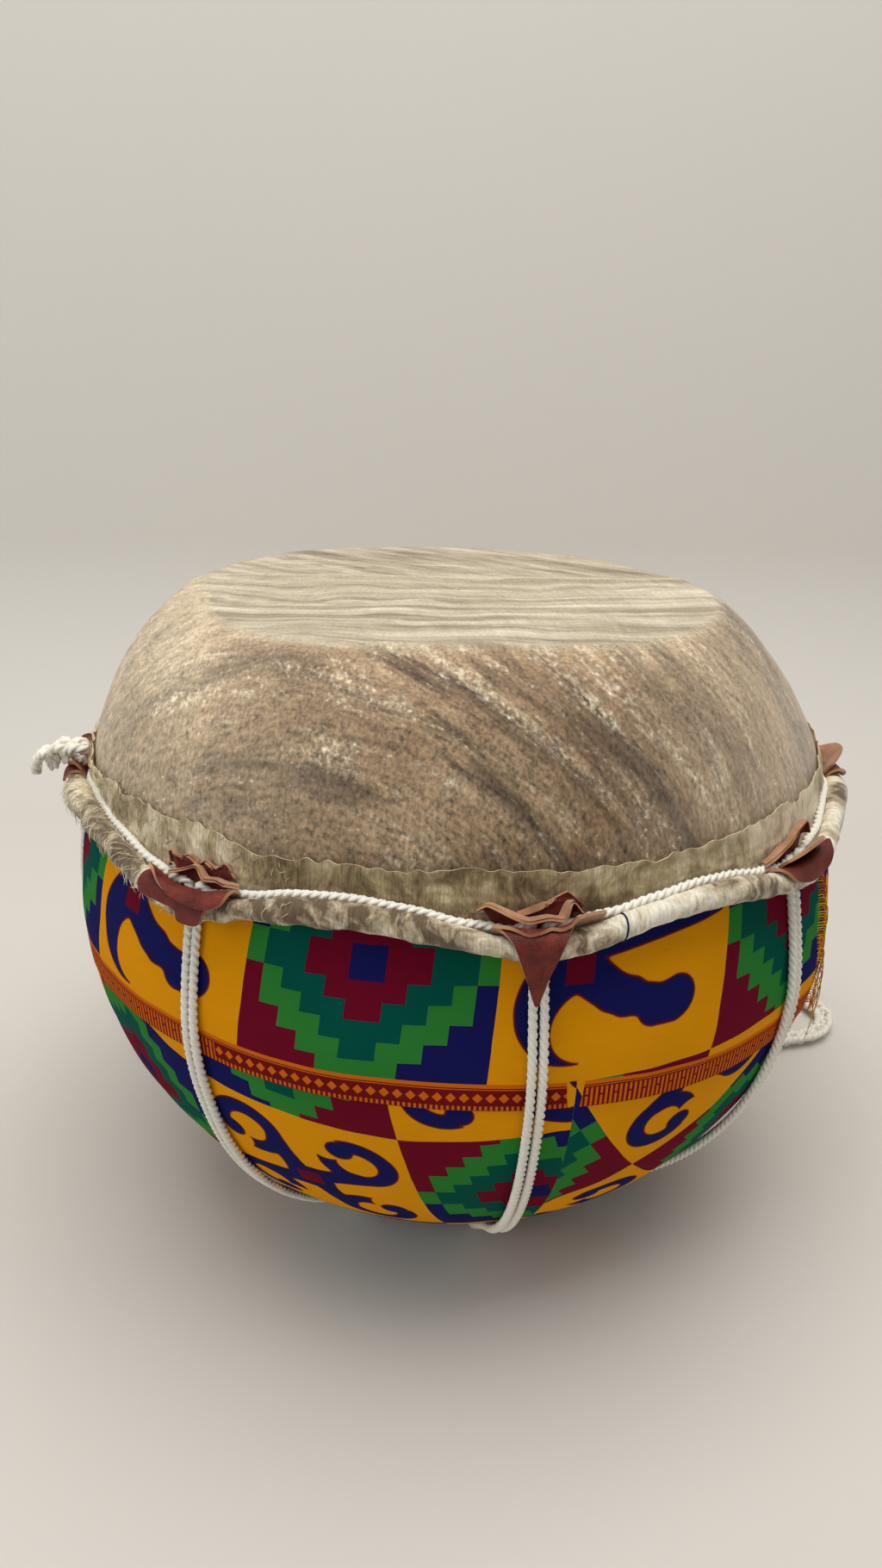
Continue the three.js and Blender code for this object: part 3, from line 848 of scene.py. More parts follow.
def make_camera():
    data = bpy.data.cameras.new("camera")
    data.sensor_width = 36
    data.lens = LENS
    data.clip_start = 0.01
    pitch, roll = math.radians(PITCH), math.radians(CAMERA_ROLL)
    back = np.array([0, -math.cos(pitch), math.sin(pitch)])
    right, up = np.array([1.0, 0, 0]), np.array([0, math.sin(pitch), math.cos(pitch)])
    turned_right = math.cos(roll) * right + math.sin(roll) * up
    turned_up = math.cos(roll) * up - math.sin(roll) * right
    bpy.context.scene.camera = stand("camera", data, turned_right, turned_up, back, CAMERA_PLACE)


make_camera()
cotton = rope_look()


def piece(made, replaced=()):
    """Hangs a visible piece of the drum under the root body and hides the frame's parts that it replaces."""
    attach(made, "root")
    if replaced:
        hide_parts(*replaced)
    return made


# ---------------------------------------------------------------- the chained rope ends
CHAIN_STITCH = np.array([
    (0.00, 0.35, 0.0), (0.55, 1.00, 0.8), (1.15, 0.75, 0.3), (1.50, 0.00, -0.3), (1.15, -0.75, 0.3),
    (0.55, -1.00, 0.8), (0.00, -0.35, 0.0), (0.30, -0.20, -1.0), (0.70, 0.20, -1.0),
])


def chain_line(route, pitch, width, height):
    """The winding line of a rope worked into a chain of loops along a route."""
    route = even_steps(route, pitch / 10)
    along = lengths_along(route)
    _, side, up = frames_along(route)
    count = round(along[-1] / pitch - 0.5)
    pitch = along[-1] / (count + 0.5)
    points = []
    for k in range(count):
        for x, y, z in CHAIN_STITCH:
            s = (k + x) * pitch
            at, across, over = (
                np.array([np.interp(s, along, v[:, axis]) for axis in range(3)]) for v in (route, side, up)
            )
            points.append(at + across * (y * width) + over * (z * height))
    return smooth_path(points, 0.0016)


TAIL_RADIUS = 0.0055
TAIL_HANG = [(0.2112, -0.0018), (0.2180, -0.0030), (0.2236, -0.0110), (0.2254, -0.030), (0.2254, -0.121),
             (0.2254, -0.215), (0.227, -0.235), (0.232, -0.249)]
TAIL_FLOOR = [(0.187, 0.162), (0.214, 0.187), (0.246, 0.196), (0.274, 0.187), (0.281, 0.164), (0.270, 0.143),
              (0.278, 0.121), (0.267, 0.098), (0.240, 0.088), (0.212, 0.084), (0.194, 0.086)]


def make_tail():
    tie = TIES[TAIL_TIE]
    hang = [place(tie, r, HOOP_Z + rise, -0.0028) for r, rise in TAIL_HANG]
    floor = [np.array([x, y, TAIL_RADIUS + 0.0003]) for x, y in TAIL_FLOOR]
    route = smooth_path([*hang, *floor], 0.002)
    line = chain_line(route, 0.0112, 0.0043, 0.0020)
    tail = joined_tubes("tail", [laid_rope(line, TAIL_ROPE, ROPE_PITCH, 3)], cotton)
    piece(tail, ["tail_chain"])


make_tail()

# ---------------------------------------------------------------- bowl and cloths
SEAM = math.radians(59)
CELL_START, CELL_TURN = math.radians(-56.6), math.radians(30.7)
CELL, CELL_MIDDLE = 0.109, 0.233
LAP = 0.014
BOWL_SPREAD = 0.203


def selvedge_z(angle):
    """Height of the upper cloth's lower edge."""
    low, lean = 0.158, 0.0125
    return low + lean * np.cos(angle + math.radians(45)) + 0.0010 * round_waves(angle, 0.09, 5)


def wrinkles(points, seed):
    """Slight unevenness of cloth glued over a gourd."""
    slow = 0.0006 * waves(points, 0.055, seed)
    return slow + 0.00018 * waves(points, 0.014, seed + 1, stretch=(1, 1, 2.5))


# The lower cloth's gores, each from a dart to the next: where it starts, the middle of its print, how far
# the print is turned, in degrees, and a corner of its cells: [right, up] in mm and the cell's number there.
GORES = [
    (-172, -144, 6, -8, 80, (0, 1)),
    (-118, -92, -5, 20, 84, (1, 0)),
    (-66, -5, 0, -8, 80, (0, 0)),
    (14, -5, 20, 101, 23, (1, -1)),
    (66, 92, -4, -20, 78, (0, 1)),
    (122, 150, 8, 10, 84, (1, 0)),
]
GORE_WIDTH, GORE_HEIGHT = 0.104, 0.105
DARTS = np.radians([gore[0] for gore in GORES])
FOLD_WIDTH = 0.0004


def dart_at(angle, z):
    """1 on the fold line of a dart in the lower cloth."""
    nearest = np.min([apart(angle, dart) for dart in DARTS], axis=0)
    return np.exp(-((nearest / 0.022) ** 2)) * smoothstep(0.02, 0.09, z)


def gore_cells(angle, r, z):
    """Cell numbers of the lower cloth's print: each gore's cells lie flat on the bowl's side."""
    away = place(angle, r, z) - (0, 0, EQUATOR)
    away = away / (BOWL_RADIUS, BOWL_RADIUS, BOWL_HALF_HEIGHT)
    away /= np.linalg.norm(away, axis=-1, keepdims=True)
    across, up = np.zeros(angle.shape), np.zeros(angle.shape)
    tilt = math.radians(-35)
    for number, (_, middle, turn, right, above, (column, row)) in enumerate(GORES):
        start, end = DARTS[number], DARTS[(number + 1) % len(GORES)]
        inside = (angle - start) % (2 * np.pi) < (end - start) % (2 * np.pi)
        out = place(math.radians(middle), math.cos(tilt), math.sin(tilt))
        east = place(math.radians(middle), 0, 0, 1)
        north = np.cross(out, east)
        reach = np.arccos(np.clip(away @ out, -1, 1))
        flat = away - out * (away @ out)[..., None]
        flat /= np.maximum(np.linalg.norm(flat, axis=-1, keepdims=True), 1e-9)
        x = BOWL_SPREAD * reach * (flat @ east) - right * MM
        y = BOWL_SPREAD * reach * (flat @ north) - above * MM
        cos, sin = math.cos(math.radians(turn)), math.sin(math.radians(turn))
        lean = 0.165 if turn <= 0 else 0.0
        across = np.where(inside, column + (x * cos + y * sin + lean * y) / GORE_WIDTH, across)
        up = np.where(inside, row + (y * cos - x * sin) / GORE_HEIGHT, up)
    return np.stack([across, up], axis=-1)


def upper_cloth():
    columns, rows = 620, 60
    angle = np.linspace(SEAM - 2 * np.pi - 0.04, SEAM + 0.012, columns)[:, None] * np.ones(rows)
    share = np.linspace(0, 1, rows)[None] * np.ones((columns, 1))
    low, high = bowl_angle(selvedge_z(angle)), bowl_angle(HOOP_Z - 0.006)
    up = low + (high - low) * share
    lap = smoothstep(SEAM - 0.10, SEAM - 0.03, angle) * CLOTH * 1.4
    over = 0.0011 - 0.0009 * smoothstep(0.25, 0.45, share)
    r, z = bowl_point(up, over + lap)
    r = r + wrinkles(place(angle, r, z), 20)
    under_roll = smoothstep(0.72, 1.0, share) * 0.0009
    r = r + under_roll * round_waves(angle, 0.020, 23)
    grid = place(angle, r, z)
    height = (up - low) * BOWL_SPREAD
    lean = 0.10 + 0.09 * smoothstep(0.05, 0.60, angle)
    rows_up = (z - CELL_MIDDLE) / CELL
    cells = np.stack([(angle - CELL_START) / CELL_TURN - lean * rows_up, rows_up + 0.5], axis=-1)
    edge = np.stack([angle * BOWL_RADIUS, height], axis=-1)
    front, back = print_look("upper_print", cloud_motif, False, True), cloth_back()
    sheet = sheet_arrays(grid, CLOTH, {"print": cells, "edge": edge})
    made = joined_object("cloth_upper_band", [sheet], [front, back, front])
    piece(made, ["cloth_upper"])
    return made


def lower_cloth():
    rows = 110
    fold = np.concatenate([DARTS - FOLD_WIDTH, DARTS + FOLD_WIDTH])
    angle = np.sort(np.concatenate([np.linspace(-np.pi, np.pi, 700, endpoint=False), fold]))
    columns = len(angle)
    angle = angle[:, None] * np.ones(rows)
    top = bowl_angle(selvedge_z(angle) + LAP)
    low = bowl_angle(0.0)
    share = np.linspace(0, 1, rows - 12)[None] * np.ones((columns, 1))
    r, z = bowl_point(low + (top[:, : rows - 12] - low) * share, -0.0002)
    inner = np.linspace(0.004, 1, 12, endpoint=False)[None] * r[:, :1]
    r = np.concatenate([inner, r], axis=1)
    z = np.concatenate([np.zeros_like(inner), z], axis=1)
    z = np.maximum(z, 0)
    lift = smoothstep(0.004, 0.02, z)
    r = r + (wrinkles(place(angle, r, z), 30) + dart_at(angle, z) * 0.0011) * lift
    grid = place(angle, r, z)
    arc = np.cumsum(np.hypot(np.diff(r, axis=1, prepend=0), np.diff(z, axis=1, prepend=0)), axis=1)
    cells = closed(gore_cells(angle, r, z))
    edge = np.stack([closed(angle, 2 * np.pi) * BOWL_RADIUS, closed(arc)], axis=-1)
    front, back = print_look("lower_print", scroll_motif, True, False), cloth_back()
    sheet = sheet_arrays(grid, CLOTH, {"print": cells, "edge": edge}, wrap=True)
    made = joined_object("cloth_lower_cap", [sheet], [front, back, front])
    piece(made, ["cloth_lower"])
    return made


# ---------------------------------------------------------------- hide
SKIRT = 0.010
PUCKER = (-0.1262, -0.0300)
# The mouth is not round: [degrees from the front, radius in mm] of its rim's corners.
MOUTH = [(-138, 149), (-106, 142), (-76, 132), (-50, 138), (-34, 139), (-12, 123), (11, 125), (30, 138),
         (41, 141), (74, 136), (95, 128), (118, 120), (152, 126), (-168, 134)]


def mouth_radius(angle):
    corners = sorted(MOUTH)
    degrees = np.linspace(-180, 180, 721)[:-1]
    exact = np.interp(degrees, [a for a, _ in corners], [r for _, r in corners], period=360)
    smooth = sum(w * np.roll(exact, k - 24) for k, w in enumerate(soft_weights(24, 9)))
    return np.interp(np.degrees(angle), degrees, smooth, period=360) * MM


def shoulder_outline(angle, rise_share):
    """Radius on the shoulder at a share of its height, fuller at the left than at the right."""
    right = smoothstep(0.2, 1.2, np.sin(angle)) * (1 - smoothstep(2.2, 2.9, np.abs(angle)))
    power = 1.62 - 0.30 * right
    rim = mouth_radius(angle)
    full = (1 - rise_share**power) ** (1 / power)
    return rim + (SHOULDER_RADIUS - rim) * full


def head_surface(radius, angle):
    """Height of the playing surface: it sags a little in front of the fold."""
    x, y = radius * np.sin(angle), -radius * np.cos(angle)
    front = np.clip(1 - ((y + 0.046) / 0.073) ** 2, 0, 1) * np.clip(1 - (x / 0.130) ** 2, 0, 1)
    return HEAD_Z - 0.0006 - 0.0026 * front - 0.010 * np.clip(y - FOLD_Y, 0, 1)


def drumhead_rows(angle):
    """Radii, heights and zones of the drumhead's rows, from its middle to the skirt's lower edge."""
    flat_rows, side_rows, skirt_rows = 90, 110, 8
    rim = mouth_radius(angle)
    share = np.linspace(0.006, 1, flat_rows)[None]
    flat_r = rim * share
    flat_z = head_surface(flat_r, angle)
    bend = np.linspace(0, np.pi / 2, side_rows + 1)[None, 1:]
    rise = np.cos(bend) ** 1.1
    side_r = shoulder_outline(angle, rise)
    side_z = HOOP_Z + (flat_z[:, -1:] - HOOP_Z) * rise
    skirt_z = HOOP_Z - np.linspace(0, SKIRT, skirt_rows + 1)[None, 1:]
    skirt_r = bowl_point(bowl_angle(skirt_z), 0.0016)[0] + 0.0006
    column = np.ones((len(angle), 1))
    r = np.concatenate([flat_r, side_r, np.maximum(skirt_r, SHOULDER_RADIUS) * column], axis=1)
    z = np.concatenate([flat_z, side_z, skirt_z * column], axis=1)
    for values in (r, z):
        padded = np.pad(values, ((0, 0), (4, 4)), mode="edge")
        soft = sum(w * padded[:, k : k + values.shape[1]] for k, w in enumerate(soft_weights(4, 2)))
        values[:, 4:-4] = soft[:, 4:-4]
    return r, z, np.concatenate([share[0], 2 - rise[0], np.full(skirt_rows, 2.0)])


def settle_head(grid, angle, z):
    """The drumhead's slight swells, the pucker at the rim's left corner and the fold across its far part."""
    swell = 0.0007 * waves(grid, 0.05, 40) + 0.00025 * waves(grid, 0.016, 41)
    on_side = smoothstep(HEAD_Z - 0.002, HEAD_Z - 0.02, z)
    held = smoothstep(HOOP_Z - 0.004, HOOP_Z + 0.02, z)
    outwards = place(angle, 1, 0) * np.ones(z.shape)[..., None]
    grid = grid + outwards * (swell * on_side * held)[..., None]
    near = np.hypot(grid[..., 0] - PUCKER[0], grid[..., 1] - PUCKER[1])
    height = grid[..., 2] + 0.35 * swell * (1 - on_side) - 0.0004
    height -= 0.0030 * np.exp(-((near / 0.0032) ** 2))
    height += 0.0009 * np.exp(-(((near - 0.0075) / 0.0035) ** 2))
    height += 0.0006 * np.exp(-(((grid[..., 1] - FOLD_Y) / 0.004) ** 2)) * (1 - on_side)
    grid[..., 2] = np.minimum(height, HEAD_Z)
    return grid


def drumhead():
    columns = 540
    angle = np.linspace(-np.pi, np.pi, columns, endpoint=False)[:, None]
    r, z, zone = drumhead_rows(angle)
    grid = settle_head(place(angle, r, z), angle, z)[:, ::-1]
    uv = np.stack(np.broadcast_arrays(zone[None, ::-1], np.linspace(0, 1, columns + 1)[:, None]), axis=-1)
    sheet = sheet_arrays(grid, SKIN, {"print": uv}, wrap=True)
    edge = raw_edge_look()
    made = joined_object("drumhead", [sheet], [head_look(), edge, edge])
    piece(made)


def hoop_centre(angle):
    """[r, z] of the hoop's middle line."""
    pull = pull_at(angle)
    r = HOOP_RADIUS + TIE_PUSH * pull - side_in(angle) + 0.0006 * round_waves(angle, 0.07, 60)
    z = HOOP_Z - SPAN_DROP - TIE_DROP * pull + 0.0006 * round_waves(angle, 0.06, 61)
    return r, z


def roll_radius(angle):
    left = smoothstep(-0.5, -1.2, angle) * (1 - smoothstep(-2.4, -3.0, angle))
    lumps = 0.00050 * round_waves(angle, 0.045, 62) + 0.00015 * round_waves(angle, 0.016, 63)
    return ROLL * (1 - 0.06 * pull_at(angle)) + 0.0005 * left + lumps


def head_radius(angle, z):
    """Radius of the drumhead's outside at height z."""
    share = np.clip((z - HOOP_Z) / (HEAD_Z - 0.001 - HOOP_Z), 0, 1)
    return np.where(z > HOOP_Z, shoulder_outline(angle, share), SHOULDER_RADIUS + 0.0005)


# The turned-up edge first dips into a groove for the rope, and thins over its last rows.
GROOVE_SHARE, THIN_ROWS = 0.18, 12


def cuff_edge(angle):
    """Height of the turned-up edge, uneven as it was cut."""
    slow = 0.0018 * round_waves(angle, 0.10, 70)
    nibbled = 0.0009 * round_waves(angle, 0.016, 71) + 0.0006 * round_waves(angle, 0.005, 72)
    return HOOP_Z + 0.0125 + slow + nibbled


def rolled_hide_rows(angle):
    """Radii and heights of the hide's rows: round the roll from under it, then up the turned-up edge."""
    turn_rows, cuff_rows = 30, 26
    centre_r, centre_z = hoop_centre(angle)
    radius = roll_radius(angle)
    sweep = np.radians(np.linspace(-125, 165, turn_rows))[None]
    r = centre_r + radius * np.cos(sweep)
    z = centre_z + radius * np.sin(sweep)
    end_r, end_z = r[:, -1:], z[:, -1:]
    groove_z = end_z - 0.0012
    share = np.linspace(0, 1, cuff_rows + 1)[None, 1:]
    down = end_z + (groove_z - end_z) * (share / GROOVE_SHARE)
    up_share = np.clip((share - GROOVE_SHARE) / (1 - GROOVE_SHARE), 0, 1)
    cuff_z = np.where(share < GROOVE_SHARE, down, groove_z + (cuff_edge(angle) - groove_z) * up_share)
    against = head_radius(angle, cuff_z) + SKIN + 0.0005
    cuff_r = end_r + (against - end_r) * smoothstep(0.0, 0.34, share)
    stand_off = 0.0007 + 0.0010 * np.clip(round_waves(angle, 0.020, 73), 0, 2)
    cuff_r = cuff_r + smoothstep(0.72, 1.0, share) * stand_off
    return np.concatenate([r, cuff_r], axis=1), np.concatenate([z, cuff_z], axis=1)


def rolled_hide():
    columns = 900
    angle = np.linspace(-np.pi, np.pi, columns, endpoint=False)[:, None]
    grid = place(angle, *rolled_hide_rows(angle))
    normal = grid_normals(grid, True)
    left = smoothstep(0.02, -0.10, grid[..., 0])
    fuzz = waves(grid, 0.0062, 80, stretch=(1, 1, 1.6)) * (0.00030 + 0.00030 * left)
    fuzz = fuzz + waves(grid, 0.0028, 81) * 0.00012
    grid = grid + normal * fuzz[..., None]
    rows = grid.shape[1]
    steps = np.linalg.norm(np.diff(grid, axis=1, prepend=grid[:, :1]), axis=-1)
    across = np.cumsum(steps, axis=1)
    around = closed(angle, 2 * np.pi) * HOOP_RADIUS * np.ones((1, rows))
    uv = np.stack([around, closed(across)], axis=-1)
    thinning = smoothstep(rows - THIN_ROWS, rows - 1, np.arange(rows))
    thickness = (SKIN - 0.0009 * thinning) * np.ones((columns, 1))
    sheet = sheet_arrays(grid, thickness, {"print": uv}, wrap=True)
    edge = raw_edge_look()
    made = joined_object("rolled_hide", [sheet], [roll_look(), edge, edge])
    piece(made, ["hide"])
    return grid, normal


def ring_object(name, angle, centre_r, centre_z, rod, sides, material):
    """A closed ring of round rod whose middle line has a radius and a height at each angle."""
    turn = np.linspace(0, 2 * np.pi, sides, endpoint=False)
    ring = place(angle, centre_r + rod * np.cos(turn), centre_z + rod * np.sin(turn))
    count = len(angle)
    i, j = (a.ravel() for a in np.meshgrid(np.arange(count), np.arange(sides), indexing="ij"))
    k, following = (j + 1) % sides, (i + 1) % count
    quads = np.stack([i * sides + j, following * sides + j, following * sides + k, i * sides + k], axis=1)
    uv = np.stack([np.stack([a, b], 1) for a, b in ((i, j), (i + 1, j), (i + 1, j + 1), (i, j + 1))], axis=1)
    return mesh_object(name, ring.reshape(-1, 3), [quads], {"print": [uv * 0.01]}, [material])


def hoop_cane():
    angle = np.linspace(-np.pi, np.pi, 400, endpoint=False)[:, None]
    cane = wood_look("cane", linear(150, 112, 62), linear(196, 162, 104), 60.0)
    piece(ring_object("hoop_cane", angle, *hoop_centre(angle), ROD, 14, cane), ["hoop_rod"])


# ---------------------------------------------------------------- leather washers
def tie_frame(tie):
    """The hoop's middle at a tie, and its outward and sideways directions."""
    r, z = hoop_centre(tie)
    return place(tie, r, z), place(tie, 1, 0), place(tie, 0, 0, 1)


LEATHER = 0.0014
LIFT = 0.0018
# A front flap's outer face, from behind the rope out over the roll and down: [0, out, up] from the hoop's
# middle, in mm.
OVER_ROLL = [(0, -9.4, 3.4), (0, -7.6, 3.2), (0, -5.6, 4.3), (0, -3.0, 6.8), (0, 1.0, 8.0), (0, 4.4, 7.0),
             (0, 6.8, 4.2), (0, 7.7, 0.0), (0, 8.2, -8.0), (0, 8.2, -20.0), (0, 7.8, -40.0)]
TROUGH = 4.6 * MM
BACK_ROOT = (-9.0 * MM, 3.4 * MM)

# The gathered flaps of a washer, in mm. Those over the roll are ribs of [sideways, length, flare]; those
# behind the rope are ribs of [sideways, out, up] of their edge from the trough.
POINTED = dict(
    under=[(-18, 5, 0), (-12.5, 14, 0), (-8, 28, 0), (-4, 42, 0), (0.5, 28, 0), (6, 16, 0), (12, 5, 0)],
    over=[(-20, 4, 1.5), (-12.5, 8, 1), (-7, 11, 0.5), (-1, 9, 1), (2, 7, 1.5), (6, 9, 0.5), (9.5, 8, 1),
          (12.5, 6, 5), (18, 5, 5), (25, 4, 3)],
    near=[(-26, 0, 10), (-22, -1, 14), (-13, 1, 11), (-6, 2, 7.5), (3, 0, 8.5), (9.5, 2, 7), (13.5, -2, 15),
          (17, 0, 8)],
    far=[(-9, -3, 8), (2, -4, 13), (12.5, -6, 17.5), (16, -5, 13), (20, -3, 7)],
)
SQUARE = dict(
    under=[(-20, 14, 0), (-18, 18, 0.5), (-10, 17, 0), (3, 17, 0), (5, 22, 0), (16, 23, 0), (18, 15, 0),
           (20, 8, 0)],
    over=[(-17, 5, 5), (-13, 6, 5), (-8, 10, 1), (0, 13, 0), (9, 14, 0), (18, 16, 0.5), (26, 15, 0.5),
          (28, 8, 1)],
    near=[(-12, 1, 7), (-5, -1, 11), (2, -3, 15), (9, 1, 10), (15, -1, 9), (21, 2, 8), (27, 0, 5)],
    far=[(-17, -2, 9), (-14, 1, 19), (-10, -4, 14), (-6, -6, 18), (1, -3, 15), (5, -7, 18), (10, -3, 14),
         (16, -6, 18), (21, -3, 9)],
)
CURLED = dict(
    under=[(-27, 8, 0), (-23, 15, 0), (-14, 17, 0), (-4, 17, 0), (6, 16, 0.5), (13, 13, 1.5), (19, 8, 2)],
    over=[(-17, 4, 2), (-12, 6, 5), (-6, 7, 8), (0, 7, 9), (6, 6, 8), (11, 5, 6), (14, 4, 3)],
    near=[(-28, 0, 4), (-18, -1, 9), (-6, -2, 14), (4, -3, 18), (12, -2, 21), (15, -1, 12)],
    far=[(-22, -4, 5), (-15, -2, 9), (-8, -5, 14), (-3, -2, 12), (6, -6, 17), (12, -5, 9)],
    flesh_out=True,
)
# Each tie's washer, and whether it is the other way round.
WASHERS = [(SQUARE, -1), (SQUARE, 1), (POINTED, 1), (CURLED, 1), (CURLED, -1), (POINTED, -1), (SQUARE, 1),
           (CURLED, -1)]


def across_ribs(ribs, side, count=64):
    """Even columns between a flap's ribs, in metres, with its corners a little rounded."""
    ribs = np.array(ribs, float) * MM
    where = np.linspace(0, len(ribs) - 1, count)
    columns = np.column_stack([np.interp(where, np.arange(len(ribs)), values) for values in ribs.T])
    for _ in range(5):
        columns[1:-1] = 0.25 * columns[:-2] + 0.5 * columns[1:-1] + 0.25 * columns[2:]
    columns[:, 0] *= side
    return columns[::side].T[..., None]


def flap_sheet(tie, aside, out, up, along, seed, flip):
    """A leather flap from its columns' sideways places and its rows' [out, up] from the hoop's middle."""
    angle = tie + aside / HOOP_RADIUS
    r, z = hoop_centre(angle)
    r, z = r + out, z + up
    held = smoothstep(0.0, 0.012, along)
    uneven = waves(np.stack([aside, along], -1), 0.012, seed) * 0.0005 * held
    grid = place(angle, r, z)
    grid = grid + grid_normals(grid, False) * uneven[..., None]
    reach = np.hypot(grid[..., 0], grid[..., 1])
    wall = head_radius(angle, grid[..., 2]) + 3 * SKIN
    grid[..., :2] *= (np.maximum(reach, wall) / reach)[..., None]
    uv = np.stack([aside, along], axis=-1)
    if flip:
        grid, uv = grid[:, ::-1], uv[:, ::-1]
    return sheet_arrays(grid, LEATHER, {"print": uv})


def front_flap(tie, ribs, side, lift, seed, flip=True):
    """A part of the leather that lies over the roll and hangs down outside it."""
    aside, length, flare = across_ribs(ribs, side)
    share = np.linspace(0, 1, 34)[None]
    over = smooth_path(np.array(OVER_ROLL) * MM, 0.0004)
    s = share * (length + TROUGH)
    out, up = (np.interp(s, lengths_along(over), over[:, k]) for k in (1, 2))
    lifted = lift * smoothstep(0.0, 0.012, s - TROUGH) / np.maximum(np.hypot(out, up), 0.006)
    out = out * (1 + lifted) + 0.6 * flare * share**2
    up = up * (1 + lifted) + flare * share**2
    spread = 0.82 + 0.18 * smoothstep(0, 0.5, share)
    return flap_sheet(tie, aside * spread, out, up, s, seed, flip)


def back_flap(tie, ribs, side, curl, seed):
    """A part of the leather that stands up behind the rope."""
    aside, out, up = across_ribs(ribs, side)
    share = np.linspace(0, 1, 26)[None]
    root_out, root_up = BACK_ROOT
    along = share * np.hypot(out, up)
    spread = 0.66 + 0.34 * share
    over = smoothstep(0.62, 1.0, share)
    rows_out = root_out + out * share + curl * over
    rows_up = root_up + up * (share - 0.22 * over**2)
    return flap_sheet(tie, aside * spread, rows_out, rows_up, along, seed, False)


def leather_washer(number, tie, looks, shape, side):
    grain, flesh = looks
    sheets = [
        front_flap(tie, shape["under"], side, 0.0, number),
        front_flap(tie, shape["over"], side, LIFT, number + 20, "flesh_out" not in shape),
        back_flap(tie, shape["near"], side, 0.0046, number + 40),
        back_flap(tie, shape["far"], side, 0.0016, number + 60),
    ]
    made = joined_object(f"washer_{number}", sheets, [grain, flesh, flesh])
    piece(made, [f"leather_washer_{number}"])


# ---------------------------------------------------------------- lacing
PAIR = 0.0024
OFF_BOWL = 0.0028
HOOK = 0.0043
OFF_RING = 0.0067
RING_ANGLE = -math.acos(BASE_RING_SEAT / BOWL_RADIUS)
# Where a pair goes down inside the hoop: [r, height above the hoop's middle] at a tie.
DIVE = [(0.2014, 0.0040), (0.2020, -0.0010), (0.2029, -0.0060), (0.2041, -0.0110)]
# How a strand lies on the bowl below that: [height, its middle line's distance from the bowl].
STRAND = [(0.203, OFF_BOWL), (0.184, OFF_BOWL + 0.0009), (0.163, OFF_BOWL + 0.0006), (0.142, OFF_BOWL)]
# The rope's two ends at the tail's tie: [out, sideways, up] from the hoop's middle.
LACING_START = [(0.0010, 0.0, 0.0128), (-0.0040, -0.0012, 0.0130), (-0.0076, -0.0024, 0.0102)]
LACING_END = [(-0.0020, -0.0070, 0.0130), (0.0012, -0.0056, 0.0126)]
CLEAR_OF_WASHER = 0.034


def tie_loop(tie):
    """Down one strand, round the base ring and up the other."""
    drop = float(hoop_centre(tie)[1])
    line = []
    for r, rise in DIVE:
        on_bowl = float(bowl_point(bowl_angle(drop + rise), OFF_BOWL)[0])
        line.append((max(r - side_in(tie), on_bowl), drop + rise))
    line += [bowl_point(bowl_angle(z), off) for z, off in STRAND]
    lowest = bowl_angle(STRAND[-1][0])
    line += [bowl_point(a, OFF_BOWL) for a in np.linspace(lowest, RING_ANGLE + 0.2, 6)[1:]]
    ring_r, ring_z = bowl_point(RING_ANGLE, OFF_RING)
    normal = np.array([math.cos(RING_ANGLE) / BOWL_RADIUS, math.sin(RING_ANGLE) / BOWL_HALF_HEIGHT])
    normal /= np.linalg.norm(normal)
    hook = []
    for degrees in range(0, 181, 30):
        a = math.radians(degrees)
        r = ring_r + HOOK * (math.cos(a) * normal[0] + math.sin(a) * normal[1])
        z = ring_z + HOOK * (math.cos(a) * normal[1] - math.sin(a) * normal[0])
        hook.append(place(tie, r, z, PAIR * (degrees / 90 - 1)))
    down = [place(tie, r, z, -PAIR) for r, z in line]
    up = [place(tie, r, z, PAIR) for r, z in reversed(line)]
    return [*down, *hook, *up]


def on_roll(angle, extra=0.0):
    """Where the rope lies: in the groove between the roll and the turned-up edge."""
    r, z = hoop_centre(angle)
    lean = math.radians(148)
    reach = roll_radius(angle) + ROPE + extra
    return place(angle, r + reach * math.cos(lean), z + reach * math.sin(lean))


def over_washer(tie, side):
    """From near the pinch outwards over one side of a washer."""
    centre, radial, tangent = tie_frame(tie)
    near = centre - 0.0074 * radial + side * 0.0040 * tangent + np.array([0, 0, 0.0070])
    return [near, on_roll(tie + side * 0.0110 / 0.2, 0.0016), on_roll(tie + side * 0.022 / 0.2, 0.0016)]


def lacing():
    count = len(TIES)
    start = tie_frame(TIES[TAIL_TIE])

    def outside(out, aside, rise):
        return start[0] + start[1] * out + start[2] * aside + np.array([0, 0, rise])

    points = [outside(*at) for at in LACING_START]
    for i in range(count):
        tie = TIES[(TAIL_TIE + i) % count] + (2 * np.pi if TAIL_TIE + i >= count else 0)
        following = TIES[(TAIL_TIE + i + 1) % count] + (2 * np.pi if TAIL_TIE + i + 1 >= count else 0)
        clear = CLEAR_OF_WASHER / HOOP_RADIUS
        points += tie_loop(tie) + over_washer(tie, 1)
        points += [on_roll(a) for a in np.linspace(tie + clear, following - clear, 7)]
        points += over_washer(following, -1)[::-1][: 3 if i + 1 < count else 2]
    points += [outside(*at) for at in LACING_END]
    line = smooth_path(points, 0.0017)
    made = joined_tubes("lacing", [laid_rope(line, ROPE, ROPE_PITCH, 1)], cotton)
    piece(made, ["lacing_rope"])
    return float(lengths_along(line)[-1])


